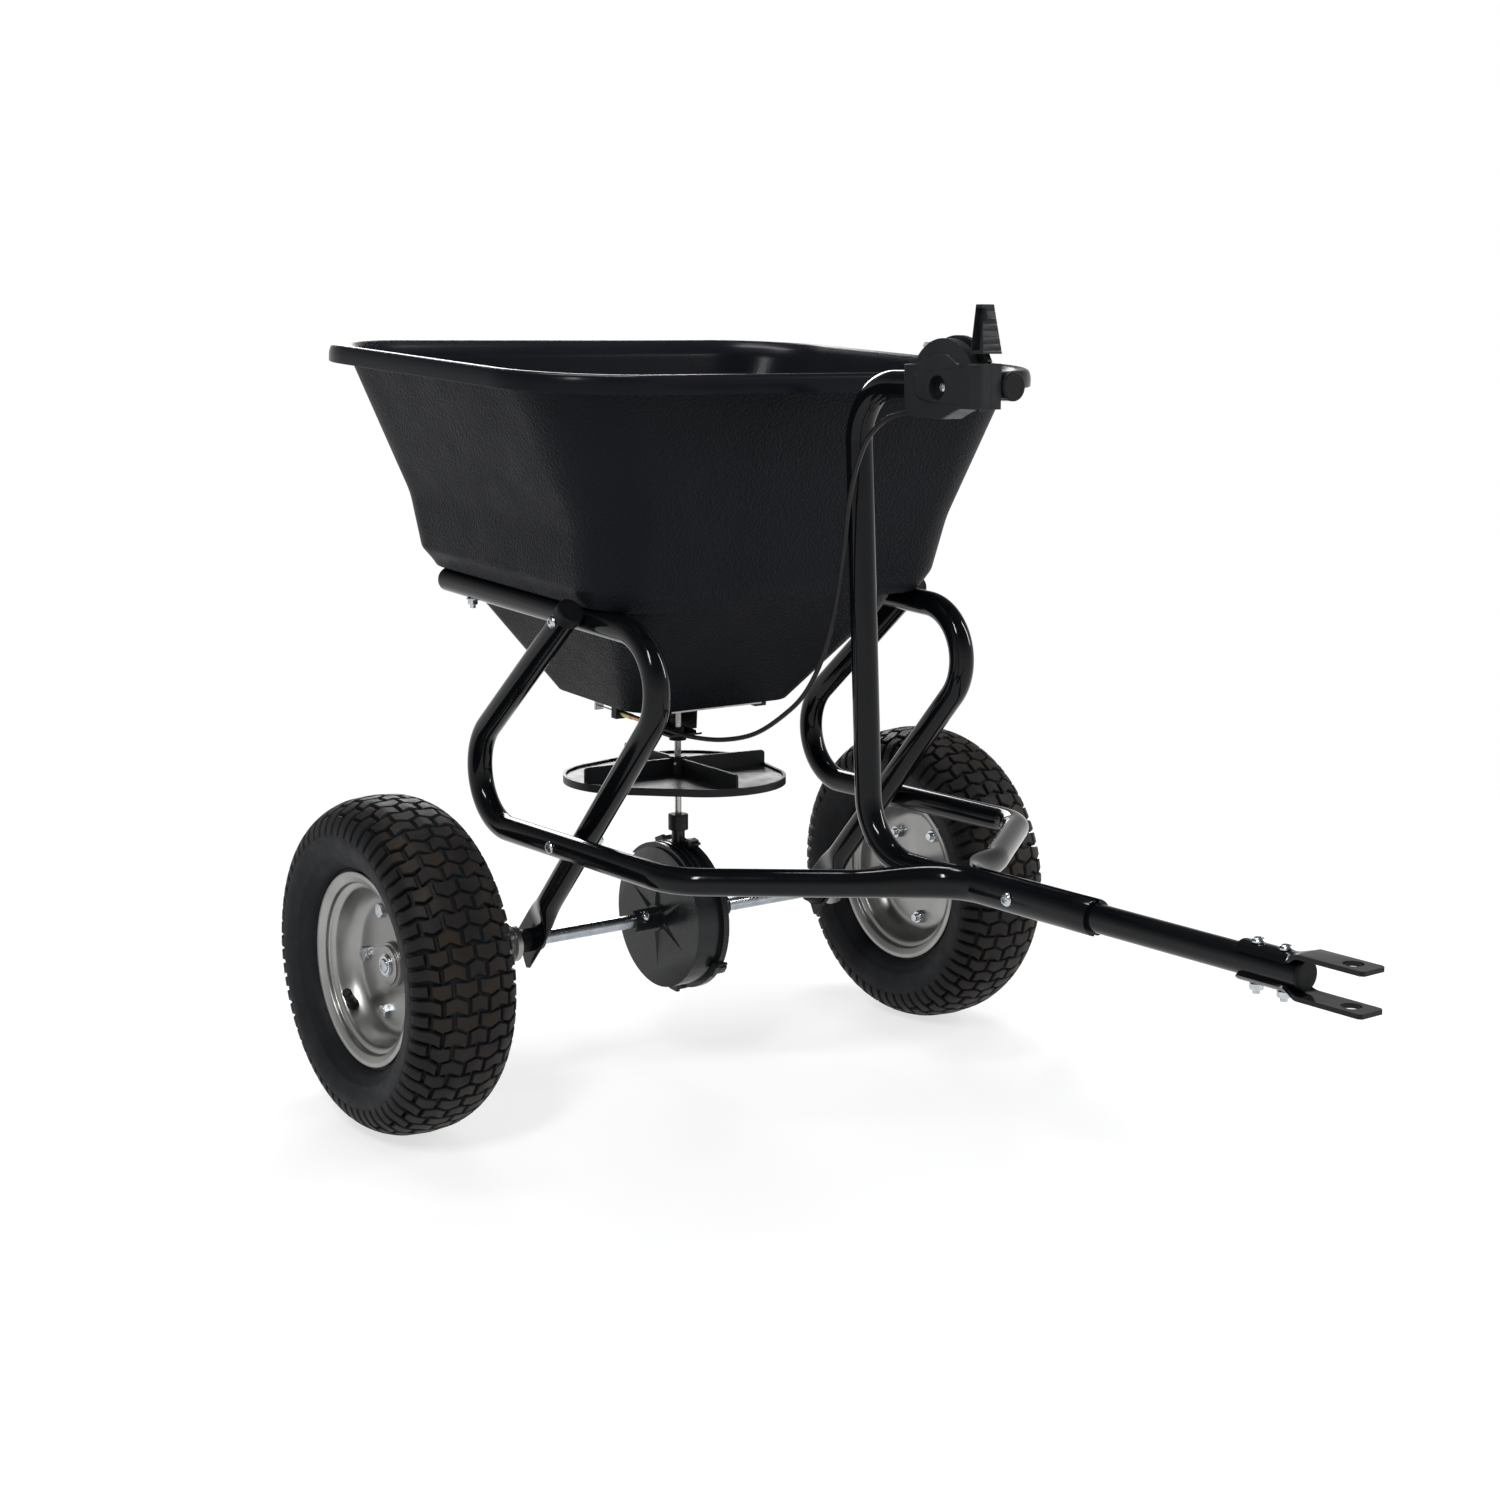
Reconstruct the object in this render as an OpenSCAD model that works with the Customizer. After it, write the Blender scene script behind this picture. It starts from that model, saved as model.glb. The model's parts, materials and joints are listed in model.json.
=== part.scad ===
// Tow-behind broadcast spreader: hopper on a tubular carriage, two pneumatic wheels, a gearbox on the
// axle that turns the spreading disc, and a lever on the mast that opens the gate by a control cable.
// Millimetres. The ground is z = 0, +X is the right-hand side, -Y is the way it is pulled, and the
// axle runs along X. Shapes are written with the axle at y = 0 and moved back together at the end.

/* [Hopper] */
// Full width across the rolled rim
hopper_w = 611; // [580:1:640]
// Full depth across the rolled rim
hopper_d = 500; // [480:1:520]
// Corner radius of the rim
rim_r = 105; // [90:1:120]
// Height of the rim's outer skirt
rim_h = 17.6; // [12:0.2:20]
// Width of the rim's overhang outside the wall
rim_out = 21; // [18:0.5:24]
// Wall thickness
wall = 3.5; // [2.5:0.1:4]
// Height of the rim's top above the ground, before the hopper leans
hopper_top = 744.6; // [735:0.2:760]
// Height of the kink between the upper and lower walls
kink_z = 595; // [580:1:620]
// Half width at the kink
kink_a = 221; // [215:1:226]
// Half depth at the kink
kink_b = 199; // [194:1:204]
// Height of the funnel's floor
floor_z = 399.5; // [392:0.5:402]
// Half width of the floor
floor_a = 100.6; // [90:0.2:110]
// Half depth of the floor
floor_b = 86; // [80:0.5:94]
// Lean of the hopper and its rails about the axle, front down
lean = 3.6; // [3:0.1:4]
// Half width of the funnel between the carriage tubes
saddle_a = 161.7; // [158:0.1:162]

/* [Carriage] */
// Outside diameter of every carriage tube
tube_d = 25; // [24:0.1:26]
// Wall of the tubes
tube_t = 1.5; // [1:0.1:2.5]
// Half spacing of the two leg tubes
leg_x = 184.5; // [183.5:0.5:185.5]
// Gap between a leg tube and the frame tube bolted to it
cross_gap = 1.2; // [1.1:0.1:1.6]
// Height of the leg tubes' upper run below the saddle, before the lean
rail_z = 507.7; // [505:0.1:509]
// Centre-line bend radius of the legs
leg_bend = 54; // [48:1:60]
// Centre-line bend radius of the frame tubes
frame_bend = 56; // [50:1:62]
// Height of the frame tubes' lower run and of the drawbar
bar_z = 284.4; // [280:0.2:290]
// Thickness of the flattened leg end
plate_t = 3; // [2.5:0.1:4]
// Width of the flattened leg end
plate_w = 40; // [38:0.5:44]
// Reach of the drawbar ahead of the axle
bar_reach = 831; // [826:1:836]
// Height of the mast's upper run
mast_z = 721; // [705:1:728]
// Reach of the mast's end ahead of the axle
mast_reach = 495.7; // [480:1:505]

/* [Hitch] */
// Hitch pin hole radius
pin_r = 8; // [6:0.1:9.5]
// Width of the hitch straps
strap_w = 27; // [25:0.5:30]
// Thickness of the hitch straps
strap_t = 4; // [3:0.1:5]
// Reach of the hitch tips past the drawbar's end
hitch_out = 65; // [59:1:74]
// Distance from the tips to the pin hole
pin_back = 19.5; // [17:0.5:22]

/* [Wheels] */
// Tyre outside diameter
tyre_d = 330; // [322:1:340]
// Tyre width
tyre_w = 108; // [100:1:110]
// Track between the wheel centres
track = 670; // [660:1:676]
// Rim flange radius
rim_flange_r = 95.4; // [92:0.2:98]
// Half width across the rim flanges
rim_half = 35.6; // [33:0.2:38]
// Radius of the rim's well where it meets the bead seat
well_r = 78.5; // [77:0.1:79.5]
// Rim sheet thickness
rim_t = 2; // [1.5:0.1:2.4]
// Wheel bolt circle diameter
wheel_pcd = 106; // [98:1:108]
// Axle diameter
axle_d = 14; // [12:0.1:15]
// Reach of the axle past the middle of each wheel
axle_out = 13; // [12:0.5:16]
// Hub tube outside diameter
hub_d = 26; // [24:0.2:28]

/* [Gearbox] */
// Gear housing radius
box_r = 74; // [72:0.5:77]
// Teeth on the crown gear
crown_teeth = 54; // [54:1:54]
// Teeth on the pinion
pinion_teeth = 10; // [10:1:10]
// Pitch radius of the pinion
pinion_pitch_r = 10.55; // [10.4:0.05:10.7]

/* [Spreader disc] */
// From the shaft to each of the disc's three sides
disc_side = 101.5; // [98:0.5:104]
// Disc corner radius
disc_r = 82; // [76:1:86]
// Height of the disc's rim above the ground
disc_z = 310.5; // [305:0.5:314]
// Height of the disc's rim band
disc_h = 8; // [6:0.5:10]
// Height of the vanes over the disc's floor
vane_h = 16; // [12:0.5:20]
// Vertical shaft diameter
shaft_d = 7; // [6:0.1:8]

/* [Control] */
// Radius of the dial cheeks round the lever
dial_r = 41.5; // [40:0.5:43]
// Lever pivot ahead of the axle
pivot_y = 441; // [439:0.5:443]
// Lever grip height
grip_h = 40.8; // [36:0.2:44]
// Cable diameter
cable_d = 4.6; // [4:0.1:5]
// Travel of the gate
gate_travel = 28; // [28:1:28]

/* [Fits] */
// Radial clearance of the running fits
run_c = 0.05; // [0.02:0.01:0.08]
// Radial clearance of bolts in their holes
bolt_c = 0.1; // [0.05:0.01:0.2]

/* [Hidden] */
$fn = 64;
axle_z = tyre_d / 2;
hitch_reach = bar_reach + hitch_out;
wheel_x = track / 2;
axle_half = wheel_x + axle_out;
frame_x = leg_x + tube_d + cross_gap;
tube_r = tube_d / 2;
// The hopper's middle sits a little behind the axle.
hopper_y = 26;
rim_back = (hopper_y + hopper_d / 2) * cos(lean) - (hopper_top - rim_h - axle_z) * sin(lean);
axle_y = (hitch_reach - rim_back) / 2;
bolt_d = 6;
nut_af = 10;
nut_h = 5;
black = [0.06, 0.065, 0.07];
steel = [0.7, 0.71, 0.73];
rubber = [0.05, 0.05, 0.052];
zinc = [0.78, 0.79, 0.81];

// ---------- placing ----------

// Everything is moved back so the whole stands centred over the origin.
module put() translate([0, axle_y, 0]) children();

// Lean about the axle, for the hopper and what hangs from its floor.
module leaned() translate([0, 0, axle_z]) rotate([lean, 0, 0]) translate([0, 0, -axle_z]) children();

// Where a point of the leaned frame comes to lie.
function lean_pt(p) = [p.x, p.y * cos(lean) - (p.z - axle_z) * sin(lean),
    axle_z + p.y * sin(lean) + (p.z - axle_z) * cos(lean)];

function unit(v) = v / norm(v);

// Turns +Z along the way from a to b and starts at a.
module along(a, b) {
    d = b - a;
    translate(a) rotate([0, acos(d.z / norm(d)), atan2(d.y, d.x)]) children();
}

module both_sides() {
    children();
    mirror([1, 0, 0]) children();
}

// ---------- tubes ----------

module straight(a, b, od = tube_d, t = tube_t) {
    along(a, b) difference() {
        cylinder(h = norm(b - a), d = od);
        translate([0, 0, -1]) cylinder(h = norm(b - a) + 2, d = od - 2 * t);
    }
}

function turn(u, v) = acos(u * v);
function tangent(u, v, r) = r * tan(turn(u, v) / 2);

// Bend at corner p from direction u to direction v. It reaches a little way over both straights and
// is a touch thicker than they are, as the press leaves it.
elbow_over = 0.6;
elbow_swell = 0.2;
module elbow(p, u, v, r, od = tube_d, t = tube_t) {
    a = turn(u, v);
    c = p + unit(v - u) * r / cos(a / 2);
    n = cross(u, v) / sin(a);
    e = (p - u * tangent(u, v, r) - c) / r;
    m = cross(n, e);
    x = elbow_over / r * 180 / PI;
    multmatrix([[e.x, m.x, n.x, c.x], [e.y, m.y, n.y, c.y], [e.z, m.z, n.z, c.z], [0, 0, 0, 1]])
        rotate(-x) rotate_extrude(angle = a + 2 * x) translate([r, 0]) difference() {
            circle(d = od + elbow_swell);
            circle(d = od - 2 * t - elbow_swell);
        }
}

// A tube through corner points p, bent with radii r at the inner ones.
module bent_tube(p, r) {
    n = len(p);
    d = [for (i = [0:n - 2]) unit(p[i + 1] - p[i])];
    cut = [for (i = [0:n - 1]) (i == 0 || i == n - 1) ? 0 : tangent(d[i - 1], d[i], r[i])];
    for (i = [0:n - 2]) straight(p[i] + d[i] * cut[i], p[i + 1] - d[i] * cut[i + 1]);
    for (i = [1:n - 2]) elbow(p[i], d[i - 1], d[i], r[i]);
}

// Skin over closed rings of points, each ring seen counter-clockwise from the end of the path. The
// ends are closed by strips between a ring's first half and its second.
module skin(rings) {
    m = len(rings[0]);
    n = len(rings);
    polyhedron(points = [for (r = rings) each r], faces = [
        for (j = [0:m / 2 - 2]) each [[j, j + 1, m - 2 - j], [j, m - 2 - j, m - 1 - j]],
        for (j = [0:m / 2 - 2]) each let (o = (n - 1) * m)
            [[o + m - 2 - j, o + j + 1, o + j], [o + m - 1 - j, o + m - 2 - j, o + j]],
        for (i = [0:n - 2]) for (j = [0:m - 1]) each
            let (k = (j + 1) % m) [[i * m + j, (i + 1) * m + j, (i + 1) * m + k],
                [i * m + j, (i + 1) * m + k, i * m + k]]]);
}

function power(c, p) = sign(c) * pow(abs(c), p);
function ease(t) = t <= 0 ? 0 : t >= 1 ? 1 : t * t * (3 - 2 * t);
function mix(a, b, t) = a * (1 - t) + b * t;

// ---------- small hardware ----------

// Hexagon prism with its corners chamfered at the top.
module hex(af, h) {
    intersection() {
        cylinder(h = h, d = af / cos(30), $fn = 6);
        cylinder(h = h, r1 = af / cos(30) / 2 + h - 0.9, r2 = af / cos(30) / 2 - 0.9);
    }
}

module nut(af = nut_af, h = nut_h, d = bolt_d) difference() {
    hex(af, h);
    translate([0, 0, -1]) cylinder(h = h + 2, r = d / 2 + 0.05);
}

module washer(od, id, h) difference() {
    cylinder(h = h, d = od);
    translate([0, 0, -1]) cylinder(h = h + 2, d = id);
}

// Hexagon bolt, the head below z = 0 and the shank up.
module hex_bolt(l, d = bolt_d, af = nut_af, h = 4) {
    cylinder(h = l, d = d);
    mirror([0, 0, 1]) hex(af, h);
}

// Domed bolt with a socket in its head, the head below z = 0.
module dome_bolt(l, d = bolt_d, hd = 13, h = 3.6) {
    cylinder(h = l, d = d);
    difference() {
        rotate_extrude() polygon([[0, 0], [hd / 2, 0], [hd / 2, -0.8], [hd * 0.44, -h * 0.6],
            [hd * 0.3, -h * 0.92], [hd * 0.15, -h], [0, -h]]);
        translate([0, 0, -h - 1]) cylinder(h = h, d = 4, $fn = 6);
    }
}

// Pan head with a cross recess, the head below z = 0.
module pan_screw(l, d, hd, h) {
    cylinder(h = l, d = d);
    difference() {
        rotate_extrude() polygon([[0, 0], [hd / 2, 0], [hd / 2, -h * 0.35], [hd * 0.4, -h * 0.8],
            [hd * 0.25, -h], [0, -h]]);
        for (a = [0, 90]) rotate(a) translate([-hd * 0.28, -hd * 0.06, -h - 1])
            cube([hd * 0.56, hd * 0.12, h * 0.6 + 1]);
    }
}

// ---------- hopper ----------

// Front and rear funnel walls run straight from the floor to the crease.
crease_z = 528;
crease_b = 189;
crease_a = 199;
shelf_z = rail_z + tube_r + 0.2;
shelf_a = 195;
function funnel_b(z) = floor_b + (crease_b - floor_b) * (z - floor_z) / (crease_z - floor_z);
funnel_side_z = 497;
wall_z = hopper_top - rim_h;
wall_a = hopper_w / 2 - rim_out;
wall_b = hopper_d / 2 - rim_out - 4;

// Rounded rectangle of half sizes a and b, corner r, at height z about y = c.
function ring(z, a, b, r, c = hopper_y) = [for (q = [0:3]) for (i = [0:11])
    let (t = 90 * q + 90 * i / 11, x = (q == 0 || q == 3) ? a - r : r - a, y = q < 2 ? b - r : r - b)
    [x + r * cos(t), c + y + r * sin(t), z]];

module hopper_shell() {
    ha = hopper_w / 2;
    hb = hopper_d / 2;
    top = hopper_top;
    skin([
        ring(floor_z, floor_a, floor_b, 34, 24),
        ring(funnel_side_z, saddle_a, funnel_b(funnel_side_z), 45),
        ring(shelf_z - 0.4, saddle_a, funnel_b(shelf_z), 47),
        ring(shelf_z, shelf_a, funnel_b(shelf_z) + 1, 49),
        ring(crease_z, crease_a, crease_b, 50),
        ring(crease_z + 12, crease_a + 12, crease_b, 51),
        ring(kink_z, kink_a, kink_b, 55),
        ring(wall_z, wall_a, wall_b, rim_r - rim_out),
        ring(wall_z + 9.4, wall_a + 3, wall_b + 3, rim_r - rim_out + 3),
        ring(wall_z + 10.5, ha - 8, hb - 8, rim_r - 8),
        ring(wall_z + 6, ha - 4, hb - 4, rim_r - 4),
        ring(wall_z, ha - 3, hb - 3, rim_r - 3),
        ring(wall_z, ha, hb, rim_r),
        ring(top - 8.6, ha, hb, rim_r),
        ring(top - 2.4, ha - 2, hb - 2, rim_r - 2),
        ring(top, ha - 6.6, hb - 6.6, rim_r - 6.6),
        ring(top - 1.6, ha - 12, hb - 12, rim_r - 12),
        ring(top - 6.6, wall_a + 1.5, wall_b + 5, rim_r - rim_out + 1),
        ring(top - 15, wall_a - wall, wall_b - wall, rim_r - rim_out - wall),
        ring(kink_z + 1, kink_a - wall, kink_b - wall, 55 - wall),
        ring(crease_z + 12 + wall / 3, crease_a + 12 - wall, crease_b - wall, 51 - wall),
        ring(crease_z + wall * 0.7, crease_a - wall * 0.4, crease_b - wall * 1.1, 50 - wall),
        ring(shelf_z + wall, shelf_a - wall * 0.4, funnel_b(shelf_z) - wall * 0.9, 49 - wall),
        ring(shelf_z + wall - 0.4, saddle_a - wall, funnel_b(shelf_z) - wall * 1.2, 47 - wall),
        ring(funnel_side_z - 1, saddle_a - wall, funnel_b(funnel_side_z) - wall * 1.5, 45 - wall),
        ring(floor_z + wall, floor_a + 2 - wall * 1.15, funnel_b(floor_z + wall) - wall * 1.3,
            34 - wall, 24)]);
}

// Shaft station in the leaned frame, at height z there.
function shaft_lean_y(z) = (z - axle_z) * tan(lean);
shaft_hole_d = shaft_d + 3;
port_w = 40;
port_d = 20;
port_y = -25;
bolt_front_y = -108;
bolt_rear_y = 118;

module hopper() color(black) put() leaned() difference() {
    hopper_shell();
    translate([0, shaft_lean_y(floor_z), floor_z - 5]) cylinder(h = 15, d = shaft_hole_d);
    for (s = [-1, 1]) translate([s * 35 - port_w / 2, port_y, floor_z - 5]) cube([port_w, port_d, 15]);
    for (s = [-1, 1]) for (y = [bolt_front_y, bolt_rear_y])
        translate([s * leg_x, y, shelf_z - 5]) cylinder(h = 15, r = bolt_d / 2 + bolt_c);
}

// Rear bolts go down through the shelf and the leg tubes to nuts below, front ones are short screws
// driven into the upper wall of the tubes.
module hopper_bolts() color(zinc) put() leaned() for (s = [-1, 1]) for (y = [bolt_front_y, bolt_rear_y])
    translate([s * leg_x, y, 0]) {
        translate([0, 0, shelf_z + wall + 0.05]) mirror([0, 0, 1])
            dome_bolt(y < 0 ? shelf_z + wall - rail_z + 5 : shelf_z + wall - rail_z + tube_r + nut_h + 5);
        if (y > 0) translate([0, 0, rail_z - tube_r - 1.25]) {
            washer(13, bolt_d + 0.3, 1.2);
            translate([0, 0, -0.05]) mirror([0, 0, 1]) nut();
        }
    }

// ---------- carriage ----------

// The leg's upper run in side view: height at station y.
function rail_at(y) = axle_z + (rail_z - axle_z) / cos(lean) + y * tan(lean);
rail_back_y = 146;
leg_knee = [leg_x, -293.8, rail_at(-293.8)];
leg_foot = [leg_x, 7.8, axle_z - 6.8];
leg_dir = unit(leg_foot - leg_knee);
flat_from = 78;
flat_to = 34;
foot_over = 7;
foot_skew = 6.3;
foot_off = 2;
// Pressed ends start a hair inside the round tube they grow from.
skin_r = tube_r - 0.12;

// The leg's lower end pressed flat: round section easing to a plate.
module flat_end() {
    e = [0, leg_dir.z, -leg_dir.y];
    at = [flat_from + 1, for (i = [1:9]) flat_from - (flat_from - flat_to) * i / 10, flat_to,
        flat_to / 2, 4 - foot_over, -foot_over];
    skin([for (s = at) let (
            w = ease((flat_from - s) / (flat_from - flat_to)), p = mix(1, 0.35, w),
            a = mix(skin_r, plate_w / 2, w) * (s <= -foot_over ? 0.84 : 1), b = mix(skin_r, plate_t / 2, w))
        [for (i = [0:31]) let (t = 360 * (i + 0.5) / 32, u = power(sin(t), p))
            leg_foot - leg_dir * (s - (s < 0 ? foot_skew * u : 0)) + [1, 0, 0] * b * power(cos(t), p)
                + e * (a * u + foot_off * w)]]);
}

// Lower run of the frame tubes and where they cross the legs.
cap_pt = [frame_x, -129.6, 511.4];
frame_knee = [frame_x, 142.8, bar_z];
top_dir = unit(frame_knee - cap_pt);
cap_slope = top_dir.z / top_dir.y;
cross_y = (cap_pt.z - cap_slope * cap_pt.y - rail_at(0)) / (tan(lean) - cap_slope);
cross_up = [0, cross_y, rail_at(cross_y)];
cross_low = [0, leg_knee.y + (bar_z - leg_knee.z) * leg_dir.y / leg_dir.z, bar_z];
bush_hole_d = 18;

module leg() difference() {
    union() {
        bent_tube([[leg_x, rail_back_y, rail_at(rail_back_y)], leg_knee, leg_foot - leg_dir * flat_from],
            [0, leg_bend, 0]);
        flat_end();
    }
    translate([leg_x - 20, 0, axle_z]) rotate([0, 90, 0]) cylinder(h = 40, d = bush_hole_d);
    for (p = [cross_up, cross_low])
        translate([leg_x - 20, p.y, p.z]) rotate([0, 90, 0]) cylinder(h = 40, r = bolt_d / 2 + bolt_c);
    leaned() for (y = [bolt_front_y, bolt_rear_y])
        translate([leg_x, y, rail_z - (y < 0 ? 0 : 20)]) cylinder(h = 40, r = bolt_d / 2 + bolt_c);
}

module leg_right() color(black) put() leg();
module leg_left() color(black) put() mirror([1, 0, 0]) leg();

module leg_plugs() color(rubber) put() both_sides() {
    p = [leg_x, rail_back_y, rail_at(rail_back_y)];
    along(p, p + [0, cos(lean), sin(lean)]) {
        cylinder(h = 2.6, d1 = tube_d, d2 = tube_d - 3);
        translate([0, 0, -12]) cylinder(h = 12.1, r = tube_r - tube_t - 0.1);
    }
}

// Frame tube: cap, knee behind, level run, inward run, then pressed to a shell round the drawbar.
shell_t = 3.4;
shell_ri = tube_r + 0.15;
shell_m = shell_ri + shell_t / 2;
inward = 51;
bend_out = [frame_x, -292.6, bar_z];
in_dir = [-sin(inward), -cos(inward), 0];
// Where the inward run would meet the shell's middle line.
meet = [shell_m, bend_out.y - (frame_x - shell_m) / tan(inward), bar_z];
morph_len = 96;
turn_r = 40;
turn_cut = turn_r * tan(inward / 2);
shell_end_y = -611;
open_angle = 82;

// Half shell (w = 1) or full round (w = 0) section, at middle-line point p with heading a from -Y.
function shell_ring(p, a, w) = let (e = [cos(a), -sin(a), 0], m = 20) [
    for (k = [0:m - 1]) let (t = -88 + 176 * k / (m - 1), q = t * open_angle / 88)
        p + mix(skin_r * [cos(t), sin(t)], [(shell_ri + shell_t) * cos(q) - shell_m,
            (shell_ri + shell_t) * sin(q)], w) * [e, [0, 0, 1]],
    for (k = [0:m - 1]) let (t = 92 + 176 * k / (m - 1), q = (180 - t) * open_angle / 88)
        p + mix(skin_r * [cos(t), sin(t)], [shell_ri * cos(q) - shell_m, shell_ri * sin(q)], w)
            * [e, [0, 0, 1]]];

module pressed_end() {
    turn_c = meet - in_dir * turn_cut + turn_r * [cos(inward), -sin(inward), 0];
    skin([
        shell_ring(meet - in_dir * (morph_len + 1), inward, 0),
        for (i = [1:12]) shell_ring(meet - in_dir * mix(morph_len, turn_cut + 2, i / 12), inward,
            ease(i / 12)),
        for (i = [0:5]) let (a = inward * (1 - i / 5))
            shell_ring(turn_c - turn_r * [cos(a), -sin(a), 0], a, 1),
        shell_ring([shell_m, -560, bar_z], 0, 1),
        shell_ring([shell_m, shell_end_y, bar_z], 0, 1)]);
}

shell_bolt_y = -519;
spare_hole_y = -590;

module frame_tube() difference() {
    union() {
        bent_tube([cap_pt, frame_knee, bend_out, meet - in_dir * morph_len], [0, frame_bend, frame_bend, 0]);
        pressed_end();
    }
    for (p = [cross_up, cross_low])
        translate([frame_x - 20, p.y, p.z]) rotate([0, 90, 0]) cylinder(h = 40, r = bolt_d / 2 + bolt_c);
    for (y = [shell_bolt_y, spare_hole_y])
        translate([0, y, bar_z]) rotate([0, 90, 0]) cylinder(h = 40, r = bolt_d / 2 + bolt_c);
}

module frame_right() color(black) put() frame_tube();
module frame_left() color(black) put() mirror([1, 0, 0]) frame_tube();

// Caps pushed over the frame tubes' upper ends.
module frame_caps() color(rubber) put() both_sides() along(cap_pt, cap_pt - top_dir) {
    translate([0, 0, 0.1]) cylinder(h = 1.6, d1 = tube_d + 2, d2 = tube_d);
    difference() {
        translate([0, 0, -10]) cylinder(h = 10.1, d = tube_d + 2);
        translate([0, 0, -11]) cylinder(h = 11, d = tube_d + 0.2);
    }
}

module tow_tube() color(black) put() difference() {
    bent_tube([[0, -mast_reach, mast_z], [0, -290.6, mast_z], [0, -313.9, bar_z], [0, -bar_reach, bar_z]],
        [0, 52, 62, 0]);
    for (y = [shell_bolt_y, spare_hole_y])
        translate([-20, y, bar_z]) rotate([0, 90, 0]) cylinder(h = 40, r = bolt_d / 2 + bolt_c);
    for (y = [hitch_bolt_1, hitch_bolt_2])
        translate([0, y, bar_z - 20]) cylinder(h = 40, r = bolt_d / 2 + bolt_c);
}

module tow_plugs() color(rubber) put() for (p = [[-mast_reach, mast_z], [-bar_reach, bar_z]])
    translate([0, p[0], p[1]]) rotate([90, 0, 0]) {
        cylinder(h = 2.2, d = tube_d);
        translate([0, 0, 2.2]) cylinder(h = 0.8, d1 = tube_d, d2 = tube_d - 2);
        translate([0, 0, -14]) cylinder(h = 14.1, r = tube_r - tube_t - 0.1);
    }

// Bolts through leg and frame tube where they cross, nuts on the inside.
module frame_bolts() color(zinc) put() both_sides() for (p = [cross_up, cross_low]) {
    translate([frame_x + tube_r + 0.05, p.y, p.z]) rotate([0, -90, 0])
        dome_bolt(frame_x - leg_x + tube_d + nut_h + 3, hd = 11.5, h = 3.4);
    translate([leg_x - tube_r - 0.05, p.y, p.z]) rotate([0, -90, 0]) nut();
}

module shell_bolt() color(zinc) put() {
    r = shell_ri + shell_t + 0.05;
    translate([-r, shell_bolt_y, bar_z]) rotate([0, 90, 0]) pan_screw(2 * r + nut_h + 2, bolt_d, 12, 3.8);
    translate([r, shell_bolt_y, bar_z]) rotate([0, 90, 0]) nut();
}

// ---------- hitch ----------

hitch_bolt_1 = -bar_reach + 46;
hitch_bolt_2 = -bar_reach + 18.5;
strap_ri = tube_r + 0.1;

// A strap: saddle on the tube easing to a flat tongue at height h above the bar, h signed.
module strap(back_y, h) {
    s = sign(h);
    ease_y = hitch_bolt_2 - 6.5;
    tongue_y = -bar_reach - 4;
    r = strap_ri + strap_t / 2;
    // The saddle's section wraps 100 degrees of the tube, with the strap's own width.
    half = strap_w / 2 / r * 180 / PI;
    function pt(u, off, w) = let (a = u * half)
        [mix((r + off) * sin(a), u * strap_w / 2, w), 0, s * mix((r + off) * cos(a), abs(h) + off, w)];
    function sec(y, w, wd = 1) = let (m = 12) [
        for (k = [0:m]) let (u = s * (1 - 2 * k / m)) pt(u * wd, strap_t / 2, w) + [0, y, bar_z],
        for (k = [0:m]) let (u = s * (2 * k / m - 1)) pt(u * wd, -strap_t / 2, w) + [0, y, bar_z]];
    end = -hitch_reach;
    difference() {
        skin([sec(back_y, 0, 0.85), sec(back_y - 4, 0), sec(ease_y, 0),
            for (i = [1:8]) sec(mix(ease_y, tongue_y, i / 8), ease(i / 8)),
            sec(end + 3, 1), sec(end, 1, 0.84)]);
        translate([0, -hitch_reach + pin_back, bar_z - 40]) cylinder(h = 80, r = pin_r);
        for (y = [hitch_bolt_1, hitch_bolt_2])
            translate([0, y, bar_z - 40]) cylinder(h = 80, r = bolt_d / 2 + bolt_c);
    }
}

tongue_up = 17.1;
tongue_down = 15.5;
module hitch_upper() color(black) put() strap(-bar_reach + 60, tongue_up);
module hitch_lower() color(black) put() strap(-bar_reach + 58, -tongue_down);

module hitch_bolts() color(zinc) put() for (y = [hitch_bolt_1, hitch_bolt_2]) translate([0, y, bar_z]) {
    r = strap_ri + strap_t + 0.05;
    translate([0, 0, r]) mirror([0, 0, 1]) pan_screw(2 * r + nut_h + 3, bolt_d, 11.5, 3.6);
    translate([0, 0, -r]) mirror([0, 0, 1]) nut();
}

// ---------- axle and its bearings ----------

bush_out_x = leg_x + plate_t / 2 + 14;
hub_in_x = bush_out_x + 1;

module on_axle(x) translate([x, 0, axle_z]) rotate([0, 90, 0]) children();

module bushings() color(rubber) put() both_sides() difference() {
    union() {
        on_axle(leg_x - plate_t / 2 - 0.05) mirror([0, 0, 1]) {
            cylinder(h = 4, d = 34);
            translate([0, 0, 4]) cylinder(h = 9, d1 = 30, d2 = 22);
        }
        on_axle(leg_x - plate_t / 2 - 2) cylinder(h = plate_t + 15, d = bush_hole_d - 0.2);
    }
    on_axle(leg_x - 40) cylinder(h = 80, r = axle_d / 2 + run_c);
}

module spacers() color(rubber) put() both_sides() difference() {
    on_axle(leg_x + plate_t / 2 + 0.05) cylinder(h = 11.5, d = 23.5);
    on_axle(leg_x) cylinder(h = 30, d = bush_hole_d);
}

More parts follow.
